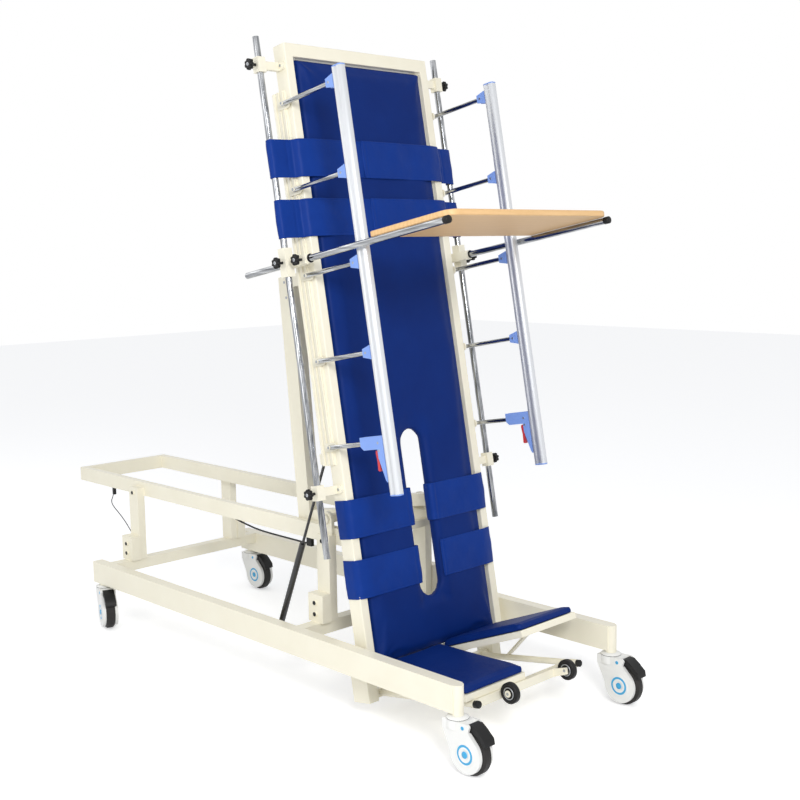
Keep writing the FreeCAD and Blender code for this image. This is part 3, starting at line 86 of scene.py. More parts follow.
@dataclass(frozen=True)
class BedFrame:
    """Places in the tilted bed: u across, v towards the head, n out of the pad, in millimetres."""

    foot_y: float = -665.0
    foot_z: float = 163.0
    tilt: float = 80.0

    def place(self, u: float, v: float, n: float) -> Vector:
        """World point in metres of a place in the bed.

        Args:
            u: Distance across the bed.
            v: Distance from the foot end towards the head.
            n: Distance out of the pad.

        Returns:
            The world point in metres.
        """
        angle = math.radians(self.tilt)
        y = self.foot_y + v * math.cos(angle) - n * math.sin(angle)
        z = self.foot_z + v * math.sin(angle) + n * math.cos(angle)
        return Vector((u, y, z)) * MM

    def matrix(self) -> Matrix:
        """Matrix from bed millimetres to world metres."""
        turn = Matrix.Rotation(math.radians(self.tilt), 4, "X")
        return Matrix.Translation(self.place(0, 0, 0)) @ turn @ Matrix.Scale(MM, 4)


BED = BedFrame()
SWIVELS = {("rear", Side.LEFT): -20.0}


def adjust(target: object, **values: object) -> None:
    """Set properties of a Blender structure by their names."""
    for name, value in values.items():
        setattr(target, name, value)


def linear(code: str) -> tuple[float, float, float, float]:
    """Turn an sRGB hex colour into a linear one.

    Args:
        code: Six hex digits.

    Returns:
        Red, green, blue and alpha for a shader socket.
    """
    parts = [int(code[k:k + 2], 16) / 255 for k in (0, 2, 4)]
    bent = [p / 12.92 if p <= 0.04045 else ((p + 0.055) / 1.055) ** 2.4 for p in parts]
    return (*bent, 1.0)


def add_node(tree: Tree, kind: str, values: Optional[dict] = None, links: Optional[dict] = None,
             **settings: object) -> bpy.types.NodeOutputs:
    """Add a node with its settings, input values and incoming links.

    Args:
        tree: The node tree.
        kind: The node's whole type name, or its name without the tree's prefix.
        values: Input values by socket name or index.
        links: Output sockets by the name or index of the input that they feed.
        settings: Properties to set on the node.

    Returns:
        The new node's outputs.
    """
    node = tree.nodes.new(kind if "Node" in kind else tree.bl_idname.replace("Tree", kind))
    adjust(node, **settings)
    for name, value in (values or {}).items():
        node.inputs[name].default_value = value
    for name, source in (links or {}).items():
        tree.links.new(source, node.inputs[name])
    return node.outputs


def new_material(name: str) -> tuple[bpy.types.Material, Tree]:
    """Make an empty node material.

    Args:
        name: The material's name.

    Returns:
        The material and its node tree.
    """
    material = bpy.data.materials.new(name)
    material.use_nodes = True
    material.node_tree.nodes.clear()
    return material, material.node_tree


def object_place(tree: Tree, stretch: Place) -> Socket:
    """Object coordinates of a surface, stretched by a scale along each axis."""
    place = add_node(tree, "TexCoord")["Object"]
    return add_node(tree, "Mapping", {"Scale": stretch}, {"Vector": place})["Vector"]


def add_surface(tree: Tree, values: dict, links: dict) -> None:
    """Add a principled shader with input values and links, and the material's output."""
    surface = add_node(tree, "BsdfPrincipled", values, links)["BSDF"]
    add_node(tree, "OutputMaterial", None, {"Surface": surface})


@dataclass(frozen=True)
class Grain:
    """A fine surface pattern: its size in millimetres, depth and colour drift."""

    size_mm: float
    depth: float
    drift: float = 0.0
    stretch: Place = (1.0, 1.0, 1.0)
    pebbled: bool = False
    bump: float = 0.0006
    roughness_spread: float = 0.15
    tone_range: Point = (0.3, 0.7)
    crease_scale: float = 14.0
    crease_bump: float = 0.006


@dataclass(frozen=True)
class Finish:
    """A surface finish of one real material; broad is the scale of its large colour drift, which is random
    tone on most finishes and painted reflection streaks on the chrome.
    """

    name: str
    colour: str
    shade: str
    roughness: float
    grain: Grain
    metallic: float = 0.0
    coat: float = 0.0
    coat_roughness: float = 0.1
    specular: float = 0.5
    creases: float = 0.0
    broad: float = 9.0

    def build(self) -> bpy.types.Material:
        """Make the material once and return it afterwards.

        Returns:
            The node material.
        """
        known = bpy.data.materials.get(self.name)
        if known:
            return known
        material, tree = new_material(self.name)
        grain = self.grain
        at = {"Vector": object_place(tree, grain.stretch)}
        rate = 1.0 / (grain.size_mm * MM)
        if grain.pebbled:
            height = add_node(tree, "TexVoronoi", {"Scale": rate}, at)["Distance"]
        else:
            height = add_node(tree, "TexNoise", {"Scale": rate, "Detail": 3.0}, at)["Fac"]
        # Broad colour drift between colour and shade: random tone on most finishes, painted reflection
        # streaks on the chrome.
        broad = add_node(tree, "TexNoise", {"Scale": self.broad, "Detail": 4.0, "Roughness": 0.55}, at)
        low, high = grain.tone_range
        tone = add_node(tree, "MapRange", {"From Min": low, "From Max": high, "To Max": grain.drift},
                        {"Value": broad["Fac"]})
        colour = add_node(tree, "Mix", {6: linear(self.colour), 7: linear(self.shade)}, {0: tone["Result"]},
                          data_type="RGBA")
        smoothest = self.roughness * (1 - grain.roughness_spread)
        roughest = min(1.0, self.roughness * (1 + grain.roughness_spread))
        rough = add_node(tree, "MapRange", {"To Min": smoothest, "To Max": roughest}, {"Value": height})
        bump = add_node(tree, "Bump", {"Strength": grain.depth, "Distance": grain.bump}, {"Height": height})
        if self.creases:
            wide = add_node(tree, "TexNoise", {"Scale": grain.crease_scale, "Detail": 2.0, "Distortion": 0.6},
                            at)
            bump = add_node(tree, "Bump", {"Strength": self.creases, "Distance": grain.crease_bump},
                            {"Height": wide["Fac"], "Normal": bump["Normal"]})
        add_surface(tree, {"Metallic": self.metallic, "Coat Weight": self.coat,
                           "Coat Roughness": self.coat_roughness, "Specular IOR Level": self.specular},
                    {"Base Color": colour[2], "Roughness": rough["Result"], "Normal": bump["Normal"]})
        return material


# Satin polyester powder coat on welded steel: even cream with a faint orange-peel surface.
POWDER_COAT = Finish("powder_coated_steel", "F2EDDA", "EBE5CF", 0.40, Grain(2.5, 0.05, 0.5), coat=0.15,
                     coat_roughness=0.25)
# Polished chrome on upright rods: mirror-like, with painted reflection: light and dark streaks along the rod
# are painted into its colour and stand in for the surroundings it mirrors.
CHROME = Finish("chromed_rod", "C2C4C7", "5C5F64", 0.16, Grain(1.2, 0.03, 1.0, (1, 1, 0.02)), metallic=1.0,
                broad=110.0)
# The same chrome on the arms and tray tubes, which lie along the table, with the same painted reflection:
# light and dark streaks along the tube are painted into its colour.
CHROME_ALONG = Finish("chromed_tube", "CDCFD1", "76787C", 0.16, Grain(1.2, 0.03, 1.0, (1, 0.02, 1)),
                      metallic=1.0, broad=110.0)
# Extruded aluminium, satin anodised: soft silver with fine lines along the bar.
ANODISED = Finish("anodised_aluminium", "DFE1E4", "CFD2D6", 0.46, Grain(1.0, 0.05, 0.5, (1, 0.06, 0.03)),
                  metallic=0.7)
# Foam pads covered with synthetic leather: deep blue, pebbled, with soft creases.
LEATHER = Finish("blue_synthetic_leather", "092A70", "072364", 0.50, Grain(2.2, 0.28, 0.6, pebbled=True),
                 specular=0.10, creases=0.20)
# Strap cover of the same leather over thin foam, a little lighter where it is stretched.
STRAP_COVER = Finish("blue_strap_cover", "0A3486", "082D79", 0.46, Grain(1.8, 0.25, 0.6, pebbled=True),
                     specular=0.12, creases=0.26)
# Injection-moulded ABS: pale blue connectors with a semi-gloss face.
BLUE_ABS = Finish("pale_blue_abs", "84A4E6", "7B9BDF", 0.34, Grain(1.5, 0.04, 0.4), specular=0.35)
# Injection-moulded ABS: red trigger.
RED_ABS = Finish("red_abs", "D23B3F", "BF3236", 0.30, Grain(1.5, 0.04, 0.4))
# Glass-filled nylon: black knobs, caps and cable jacket with a spark-eroded matt skin.
BLACK_NYLON = Finish("black_nylon", "0D0D0E", "141415", 0.46, Grain(1.2, 0.15, 0.5), specular=0.3)
# Dipped paint on the strut tube: black gloss.
BLACK_PAINT = Finish("black_painted_tube", "121214", "19191B", 0.26, Grain(3.0, 0.04, 0.4), coat=0.3)
# Injection-moulded polypropylene: white caster housings.
WHITE_PP = Finish("white_polypropylene", "EDEDEA", "E3E3DF", 0.34, Grain(1.6, 0.05, 0.4))
# The same polypropylene in cyan: ring, hub and plug of the casters.
CYAN_PP = Finish("cyan_polypropylene", "38A6D8", "2F9BCD", 0.32, Grain(1.6, 0.05, 0.4))
# Polyurethane tread: dark grey with a matt, slightly scuffed surface.
TREAD = Finish("grey_polyurethane", "2A2827", "1E1D1C", 0.60, Grain(2.0, 0.18, 0.8), specular=0.3)
# Blackened steel: the bolts of the base.
BLACK_OXIDE = Finish("black_oxide_bolt", "3A3B3D", "232426", 0.34, Grain(0.9, 0.08, 0.5), metallic=0.8)
# Zinc-plated screws, pin heads and inserts.
ZINC = Finish("zinc_plated_screw", "B9BCC0", "9DA1A6", 0.30, Grain(0.9, 0.08, 0.5), metallic=1.0)


@dataclass(frozen=True)
class MapleBoard:
    """Lacquered maple veneer on the tray board: pale, with faint grain along the board's length."""

    name: str = "lacquered_maple"
    pale: str = "E9C18D"
    dark: str = "DAB07B"
    ring_mm: float = 16.0
    ring_share: float = 0.35
    stretch: Place = (0.10, 1.0, 1.0)
    pore_scale: float = 420.0
    roughness: float = 0.45
    specular: float = 0.2

    def build(self) -> bpy.types.Material:
        """Make the wood material with its grain along X.

        Returns:
            The node material.
        """
        known = bpy.data.materials.get(self.name)
        if known:
            return known
        material, tree = new_material(self.name)
        at = {"Vector": object_place(tree, self.stretch)}
        rings = add_node(tree, "TexWave", {"Scale": self.ring_share / (self.ring_mm * MM), "Distortion": 7.0,
                                           "Detail": 3.0, "Detail Scale": 1.6}, at,
                         wave_type="BANDS", bands_direction="Y")
        pores = add_node(tree, "TexNoise", {"Scale": self.pore_scale, "Detail": 3.0}, at)
        both = add_node(tree, "Math", links={0: rings["Fac"], 1: pores["Fac"]}, operation="MULTIPLY")
        colour = add_node(tree, "Mix", {6: linear(self.pale), 7: linear(self.dark)}, {0: both["Value"]},
                          data_type="RGBA")
        bump = add_node(tree, "Bump", {"Strength": 0.08, "Distance": 0.0004}, {"Height": pores["Fac"]})
        add_surface(tree, {"Roughness": self.roughness, "Specular IOR Level": self.specular},
                    {"Base Color": colour[2], "Normal": bump["Normal"]})
        return material


MAPLE = MapleBoard()


def node_object(name: str) -> Item:
    """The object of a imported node."""
    return bpy.data.objects[name]


def dress(names: Iterable[str], finish: Finish | MapleBoard) -> None:
    """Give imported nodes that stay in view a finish.

    Args:
        names: Node names.
        finish: The finish of their surface.
    """
    for name in names:
        slots = node_object(name).material_slots
        if not slots:
            raise RuntimeError(f"{name} has no material slot")
        for place in slots:
            place.material = finish.build()
        LOG.info("dressed %s with %s", name, finish.name)


def link_object(name: str, data: bpy.types.ID) -> Item:
    """Make an object of a mesh, curve, light or camera at the origin of the scene."""
    item = bpy.data.objects.new(name, data)
    bpy.context.scene.collection.objects.link(item)
    return item


def modify(piece: Item, name: str, kind: str, **values: object) -> bpy.types.Modifier:
    """Add a modifier of some kind with its settings by name."""
    modifier = piece.modifiers.new(name, kind)
    adjust(modifier, **values)
    return modifier


def add_object(name: str, mesh: Mesh, finish: Finish | MapleBoard) -> Item:
    """Link a mesh to the scene with its finish.

    Args:
        name: The piece's name.
        mesh: The mesh, in world metres.
        finish: The finish of its surface.

    Returns:
        The new object at the origin.
    """
    mesh.materials.clear()
    mesh.materials.append(finish.build())
    return link_object(name, mesh)


def report(piece: Item, body: str, node: str = "") -> None:
    """Args:
        piece: The piece.
        body: The body that it rides on.
        node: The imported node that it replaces, if any.
    """
    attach(piece, body)
    if node:
        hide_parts(node)


def plain_mesh(piece: Item, name: str) -> Mesh:
    """The evaluated mesh of an object as plain data.

    Args:
        piece: Object with modifiers.
        name: Name of the new mesh.

    Returns:
        The new mesh.
    """
    depsgraph = bpy.context.evaluated_depsgraph_get()
    mesh = bpy.data.meshes.new_from_object(piece.evaluated_get(depsgraph), depsgraph=depsgraph)
    mesh.name = name
    return mesh


def settle(piece: Item) -> Item:
    """Replace an object's modifiers by their result.

    Args:
        piece: Object with modifiers.

    Returns:
        The same object with a plain mesh.
    """
    mesh = plain_mesh(piece, piece.data.name)
    piece.modifiers.clear()
    piece.data = mesh
    return piece


def shade_smooth(mesh: Mesh) -> None:
    """Shade all faces of a mesh smooth."""
    for face in mesh.polygons:
        face.use_smooth = True


def take_mesh(work: Work, name: str) -> Mesh:
    """Turn a bmesh into a mesh and free it.

    Args:
        work: The bmesh.
        name: Name of the mesh.

    Returns:
        The mesh.
    """
    mesh = bpy.data.meshes.new(name)
    work.to_mesh(mesh)
    work.free()
    return mesh


def mesh_from(name: str, build: Fill, smooth: bool = True) -> Mesh:
    """Make a mesh with a bmesh routine, merged and facing outwards.

    Args:
        name: The mesh's name.
        build: Routine that fills the bmesh.
        smooth: Whether the faces are shaded smooth.

    Returns:
        The mesh.
    """
    work = bmesh.new()
    build(work)
    bmesh.ops.remove_doubles(work, verts=work.verts, dist=MERGE)
    bmesh.ops.recalc_face_normals(work, faces=work.faces)
    for face in work.faces:
        face.smooth = smooth
    return take_mesh(work, name)


def make_piece(name: str, fill: Fill, finish: Finish, body: str,
               node: str = "", split: float = 0.0) -> Item:
    """Make a piece with a bmesh routine and report it.

    Args:
        name: The piece's name.
        fill: Routine that fills the bmesh.
        finish: The finish of its surface.
        body: The body that it rides on.
        node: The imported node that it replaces, if any.
        split: Angle in degrees above which an edge shades hard, or zero for none.

    Returns:
        The finished piece.
    """
    piece = add_object(name, mesh_from(name, fill), finish)
    if split:
        modify(piece, "edge", "EDGE_SPLIT", split_angle=math.radians(split))
        settle(piece)
    report(piece, body, node)
    return piece


def softened(node: str, piece_name: str, body: str, finish: Finish, radius_mm: float,
             segments: int = 2) -> None:
    """Stand a copy of a node in for it, with the rounded edges of bent or moulded stock.

    Args:
        node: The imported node.
        piece_name: Name of the new piece.
        body: The body that it rides on.
        finish: The finish of its surface.
        radius_mm: Edge radius.
        segments: Facets across each rounded edge.
    """
    source = node_object(node)
    work = bmesh.new()
    work.from_mesh(source.data)
    bmesh.ops.transform(work, matrix=source.matrix_world, verts=work.verts)
    bmesh.ops.remove_doubles(work, verts=work.verts, dist=CAD_MERGE)
    bmesh.ops.dissolve_limit(work, angle_limit=FLAT_ANGLE, verts=work.verts, edges=work.edges)
    piece = add_object(piece_name, take_mesh(work, piece_name), finish)
    modify(piece, "edge", "BEVEL", width=radius_mm * MM, segments=segments, limit_method="ANGLE",
           angle_limit=SHARP_ANGLE, harden_normals=False)
    modify(piece, "shade", "WEIGHTED_NORMAL", keep_sharp=True)
    shade_smooth(piece.data)
    settle(piece)
    report(piece, body, node)
    LOG.info("softened %s as %s", node, piece_name)


def lathe(work: Work, profile: Sequence[Point], matrix: Matrix, steps: int = 32) -> None:
    """Turn a profile round the local Z axis into closed faces.

    Args:
        work: The bmesh to add to.
        profile: Radius and height pairs, from axis to axis or closed on itself.
        matrix: Place of the turned form.
        steps: Facets round the axis.
    """
    step = 2 * math.pi / steps
    rings = [[work.verts.new(matrix @ Vector((radius * math.cos(step * k), radius * math.sin(step * k), z)))
              for k in range(steps if radius else 1)] for radius, z in profile]
    for low, high in zip(rings, rings[1:]):
        for k in range(steps):
            corners = (low[k % len(low)], low[(k + 1) % steps % len(low)],
                       high[(k + 1) % steps % len(high)], high[k % len(high)])
            work.faces.new(list(dict.fromkeys(corners)))


def skin(work: Work, rings: Sequence[Sequence[bmesh.types.BMVert]]) -> None:
    """Join rings of vertices with faces and cap both ends.

    Args:
        work: The bmesh to add to.
        rings: Rings with the same number of vertices.
    """
    count = len(rings[0])
    for a, b in zip(rings, rings[1:]):
        for k in range(count):
            following = (k + 1) % count
            work.faces.new((a[k], a[following], b[following], b[k]))
    work.faces.new(rings[0])
    work.faces.new(list(reversed(rings[-1])))


def axis_matrix(place: Vector, direction: Vector) -> Matrix:
    """Matrix from millimetres to metres that has its origin at a place in metres and Z along a direction."""
    turn = direction.to_track_quat("Z", "Y").to_matrix().to_4x4()
    return Matrix.Translation(place) @ turn @ Matrix.Scale(MM, 4)


@dataclass
class PaddedBlock:
    """A foam pad under a stretched cover, swollen by a cloth simulation with its back held flat."""

    name: str
    outline: Fill
    to_world: Matrix
    back_mm: float
    voxel_mm: float
    pressure: float = 4.0
    cap_mm: float = 9.0
    frames: int = 20
    smoothing: int = 2
    held_share: float = 0.6

    def build(self) -> Item:
        """Remesh, inflate, cap the swelling and smooth the pad.

        Returns:
            The finished piece.
        """
        piece = add_object(self.name, mesh_from(f"{self.name}_start", self.outline), LEATHER)
        modify(piece, "remesh", "REMESH", mode="VOXEL", voxel_size=self.voxel_mm * MM)
        settle(piece)
        rest = [vertex.co.copy() for vertex in piece.data.vertices]
        self.inflate(piece, rest)
        modify(piece, "even", "CORRECTIVE_SMOOTH", iterations=self.smoothing, use_only_smooth=True)
        settle(piece)
        piece.data.transform(self.to_world @ Matrix.Scale(1 / MM, 4))
        shade_smooth(piece.data)
        piece.data.materials.clear()
        piece.data.materials.append(LEATHER.build())
        return piece

    def inflate(self, piece: Item, rest: list[Vector]) -> None:
        """Run the cloth with pressure and keep the capped result.

        Args:
            piece: The remeshed pad, in its own frame in metres.
            rest: Its starting points.
        """
        group = piece.vertex_groups.new(name="back")
        level = (self.back_mm + self.held_share * self.voxel_mm) * MM
        group.add([k for k, point in enumerate(rest) if point.z < level], 1.0, "REPLACE")
        cloth = modify(piece, "cloth", "CLOTH")
        adjust(cloth.settings, quality=4, mass=0.4, tension_stiffness=18, compression_stiffness=18,
               shear_stiffness=8, bending_stiffness=1.5, use_pressure=True,
               uniform_pressure_force=self.pressure, vertex_group_mass="back")
        cloth.settings.effector_weights.gravity = 0
        cloth.collision_settings.use_collision = False
        adjust(cloth.point_cache, frame_start=1, frame_end=self.frames)
        scene = bpy.context.scene
        for frame_number in range(1, self.frames + 1):
            scene.frame_set(frame_number)
        swollen = plain_mesh(piece, f"{self.name}_swollen")
        limit = self.cap_mm * MM
        for vertex, origin in zip(swollen.vertices, rest):
            move = vertex.co - origin
            if move.length > limit:
                vertex.co = origin + move * (limit / move.length)
        scene.frame_set(1)
        piece.modifiers.clear()
        piece.data = swollen


def slab_with_hole(work: Work, edge: Sequence[Point], hole: Sequence[Point],
                   low: float, high: float) -> None:
    """Build a slab with a flat outline and an optional slot, in metres from millimetres.

    Args:
        work: The bmesh to fill.
        edge: Outer outline.
        hole: Inner outline, or nothing.
        low: Height of the back.
        high: Height of the front.
    """
    loops = [loop for loop in (edge, hole) if loop]
    caps: dict[float, list[bmesh.types.BMEdge]] = {}
    for height in (low, high):
        rim: list[bmesh.types.BMEdge] = []
        for loop in loops:
            verts = [work.verts.new(Vector((x, y, height)) * MM) for x, y in loop]
            rim += [work.edges.new((a, b)) for a, b in zip(verts, verts[1:] + verts[:1])]
        caps[height] = rim
    for under, over in zip(caps[low], caps[high]):
        work.faces.new((under.verts[0], under.verts[1], over.verts[1], over.verts[0]))
    for height in (low, high):
        bmesh.ops.triangle_fill(work, use_beauty=True, edges=caps[height])


def rounded_box(x: Point, y: Point, radius: float, steps: int = 6) -> list[Point]:
    """Outline of a rectangle with round corners.

    Args:
        x: Low and high X.
        y: Low and high Y.
        radius: Corner radius.
        steps: Facets of each corner.

    Returns:
        The outline's points, counter-clockwise.
    """
    points = []
    corners = ((x[1] - radius, y[1] - radius, 0), (x[0] + radius, y[1] - radius, 90),
               (x[0] + radius, y[0] + radius, 180), (x[1] - radius, y[0] + radius, 270))
    for centre_x, centre_y, start in corners:
        for k in range(steps + 1):
            angle = math.radians(start + 90 * k / steps)
            points.append((centre_x + radius * math.cos(angle), centre_y + radius * math.sin(angle)))
    return points


@dataclass
class Upholstery:
    """The long bed pad with its leg slot and the two foot pads."""

    half_width: float = 265.5
    length: Point = (-1.0, 1848.0)
    corner: float = 8.0
    back: float = -21.5
    front: float = 4.0
    slot_half: float = 47.0
    slot: Point = (163.5, 693.0)
    voxel: float = 7.0
    foot_length: Point = (-343.0, 0.0)
    foot_span: Point = (8.0, 259.0)
    foot_corner: float = 12.0
    foot_back: float = 1.0
    foot_front: float = 20.0
    foot_voxel: float = 4.0
    hinge: Point = (-8.0, 8.0)
    rises: dict[Side, float] = field(default_factory=lambda: {Side.LEFT: 2.0, Side.RIGHT: 22.0})

    def build(self) -> None:
        edge = rounded_box((-self.half_width, self.half_width), self.length, self.corner)
        hole = rounded_box((-self.slot_half, self.slot_half), self.slot, self.slot_half - 0.5, 10)
        pad = PaddedBlock("bed_pad_upholstery",
                          lambda work: slab_with_hole(work, edge, hole, self.back, self.front),
                          BED.matrix(), self.back, self.voxel, pressure=3.6, cap_mm=7.5).build()
        self.declare(pad, "bed_pad", "bed")
        for side in Side:
            self.foot_pad(side)

    def foot_pad(self, side: Side) -> None:
        """Make one foot pad on its plate.

        Args:
            side: The side of the table.
        """
        low, high = sorted(side.value * x for x in self.foot_span)
        edge = rounded_box((low, high), self.foot_length, self.foot_corner)
        turn = Matrix.Rotation(math.radians(-self.rises[side]), 4, "X")
        to_world = Matrix.Translation(BED.place(0, *self.hinge)) @ turn @ Matrix.Scale(MM, 4)
        pad = PaddedBlock(f"foot_pad_upholstery_{side.word}",
                          lambda work: slab_with_hole(work, edge, (), self.foot_back, self.foot_front),
                          to_world, self.foot_back, self.foot_voxel, cap_mm=4.0).build()
        self.declare(pad, f"foot_pad_{side.word}", f"foot_{side.word}")

    def declare(self, pad: Item, node: str, body: str) -> None:
        """Report a pad as the stand-in of a soft node.

        Args:
            pad: The pad.
            node: The node that it stands for.
            body: The body that it rides on.
        """
        report(pad, body, node)
        LOG.info("upholstered %s", node)


def smooth_path(points: Sequence[Point], radius: float, step: float) -> list[Point]:
    """Round a path's corners and sample it at even steps.

    Args:
        points: The path's corners.
        radius: Largest corner radius.
        step: Spacing of the samples.

    Returns:
        Samples along the rounded path.
    """
    dense: list[Vector] = [Vector(points[0])]
    for before, corner, after in zip(points, points[1:], points[2:]):
        a, b, c = Vector(before), Vector(corner), Vector(after)
        reach = min(radius, (a - b).length / 2, (c - b).length / 2)
        start = b + (a - b).normalized() * reach
        end = b + (c - b).normalized() * reach
        for k in range(9):
            t = k / 8
            dense.append(start * (1 - t) ** 2 + b * (2 * t * (1 - t)) + end * t * t)
    dense.append(Vector(points[-1]))
    samples = [dense[0]]
    left = step
    for a, b in zip(dense, dense[1:]):
        run = (b - a).length
        travelled = 0.0
        while run - travelled >= left:
            travelled += left
            samples.append(a + (b - a) * (travelled / run))
            left = step
        left -= run - travelled
    if (samples[-1] - dense[-1]).length > step / 3:
        samples.append(dense[-1])
    else:
        samples[-1] = dense[-1]
    return [(p.x, p.y) for p in samples]


@dataclass
class StrapBand:
    """A foam-filled strap that follows a path round the bed, with rolled edges and soft creases."""

    name: str
    path: Sequence[Point]
    along: Point
    thickness: float = 3.2
    seed: float = 0.0
    step: float = 4.0
    seams: Sequence[float] = ()
    corner: float = 16.0
    wave: float = 1.5
    wave_scale: Point = (0.022, 0.03)
    ripple: float = 0.35
    ripple_scale: Point = (0.08, 0.11)
    end_share: float = 0.35
    end_steps: float = 2.2
    seam_width: float = 3.2
    seam_depth: float = 0.45
    rows: int = 12
    hem: Sequence[Point] = ((0.0, 0.35), (0.6, 0.75), (2.4, 0.98), (5.6, 1.0), (6.6, 0.72), (7.6, 0.98))
    crown: float = 0.22

    def build(self) -> Mesh:
        """Loft the strap's cross-section along its path.

        Returns:
            The strap's mesh in world metres.
        """
        samples = smooth_path(self.path, self.corner, self.step)
        low, high = self.along
        section = self.section(high - low)
        last = len(samples) - 1
        (a, b), (c, d) = self.wave_scale, self.ripple_scale

        def fill(work: Work) -> None:
            """Fill the mesh with the piece's faces."""
            rings = []
            for k, (u, n) in enumerate(samples):
                run = (Vector(samples[min(last, k + 1)]) - Vector(samples[max(0, k - 1)])).normalized()
                normal = Vector((-run.y, run.x))
                taper = min(1.0, (min(k, last - k) + self.end_share) / self.end_steps) ** 0.5
                sewn = min(1.0, sum(math.exp(-((u - seam) / self.seam_width) ** 2) for seam in self.seams))
                ring = []
                for across, out in section:
                    v = low + across
                    crease = noise.noise(Vector((u * a + self.seed, v * b, n * a))) * self.wave
                    crease += noise.noise(Vector((u * c, v * d + self.seed, n * c))) * self.ripple
                    lift = out * taper * (1 - self.seam_depth * sewn)
                    lift += crease * max(0.0, out) / self.thickness
                    at = Vector((u, n)) + normal * lift
                    ring.append(work.verts.new(BED.place(at.x, v, at.y)))
                rings.append(ring)
            skin(work, rings)

        return mesh_from(self.name, fill)

    def section(self, width: float) -> list[Point]:
        """Cross-section of the strap: a flat back, rolled edges, a hem line and a filled middle.

        Args:
            width: Width of the strap.

        Returns:
            Points as distance across the strap and height above its back.
        """
        top = self.thickness
        edge = [(x, top * share) for x, share in self.hem]
        start, rise = self.hem[-1]
        middle = []
        for k in range(1, self.rows):
            t = k / self.rows
            height = top * (rise + self.crown * math.sin(math.pi * t))
            middle.append((start + (width - 2 * start) * t, height))
        other = [(width - x, y) for x, y in reversed(edge)]
        back = [(width - 1.0, 0.0), (width * 0.66, 0.0), (width * 0.33, 0.0), (1.0, 0.0)]
        return edge + middle + other + back


@dataclass
class Straps:
    """Two body straps hooked round the side rods and four leg straps."""

    body_strap_y: Point = (1485.0, 1305.0)
    leg_strap_y: Point = (394.0, 212.0)
    width: float = 118.0
    pad_half: float = 267.0
    bed_half: float = 300.0
    bed_back: float = -54.8
    slot_half: float = 45.0
    rod_line: float = 375.0
    rod_back: float = 35.0
    rod_radius: float = 10.3
    slack: float = 0.6
    lift: float = 11.0
    sewn_line: float = 331.0
    lap_shift: float = 8.0

    def build(self) -> None:
        """Make and declare both groups of straps."""
        bands = []
        half = self.half_path()
        under = [(-u, n) for u, n in reversed(half)] + [(60.0, self.lift)]
        for number, low in enumerate(self.body_strap_y):
            shift = self.lap_shift * number
            over = [(shift - 58.0, self.lift + 3.2), (90.0, self.lift + 3.4), (140.0, self.lift + 0.4)] + half
            bands.append(StrapBand(f"under_{number}", under, (low + 1.5, low + self.width - 1.5),
                                   seed=number * 3.1, seams=(-self.sewn_line, 46.0)))
            bands.append(StrapBand(f"over_{number}", over, (low, low + self.width), seed=number * 5.7 + 1,
                                   seams=(shift - 44.0, self.sewn_line)))
        self.declare("body_strap_covers", bands, "body_straps")
        bands = []
        for number, low in enumerate(self.leg_strap_y):
            for side in Side:
                skipped = 2 if number and side is Side.RIGHT else 0
                path = [(side.value * u, n) for u, n in self.leg_path()[skipped:]]
                if side is Side.LEFT:
                    path.reverse()
                bands.append(StrapBand(f"leg_{number}_{side.word}", path, (low, low + self.width),
                                       seed=number * 2.3 + side.value,
                                       seams=(side.value * (self.slot_half + 18),)))
        self.declare("leg_strap_covers", bands, "leg_straps")

    def half_path(self) -> list[Point]:
        """Right half of a body strap's path, from the pad out and round the rod."""
        ring = self.rod_radius + self.slack
        line, back = self.rod_line, -self.rod_back
        turn = ((0.7, 0.9), (1.0, 0.0), (0.7, -0.8), (0.0, -1.0), (-0.8, -0.7))
        return [(200.0, self.lift), (258.0, self.lift - 0.5), (self.bed_half + 1.0, 1.0), (308.0, -17.0),
                (line - 4, back + ring + 1), *((line + ring * x, back + ring * y) for x, y in turn),
                (line - ring, back + 2)]

    def leg_path(self) -> list[Point]:
        """Right leg strap's path, from the slot over the pad to behind the bed side."""
        side, slot = self.bed_half + 0.8, self.slot_half
        return [(slot - 3.0, -19.0), (slot - 2.5, self.lift - 4), (slot + 6, self.lift + 0.5),
                (self.pad_half - 4, self.lift), (side, 1.0), (side, self.bed_back),
                (self.bed_half - 14, self.bed_back)]

    def declare(self, name: str, bands: Sequence[StrapBand], node: str) -> None:
        """Join bands into one piece and report it.

        Args:
            name: The piece's name.
            bands: Its straps.
            node: The node that it stands for.
        """
        work = bmesh.new()
        for band in bands:
            work.from_mesh(band.build())
        piece = add_object(name, take_mesh(work, name), STRAP_COVER)
        modify(piece, "cover", "SUBSURF", levels=1, render_levels=1)
        settle(piece)
        shade_smooth(piece.data)
        report(piece, "bed", node)
        LOG.info("sewed %s", name)


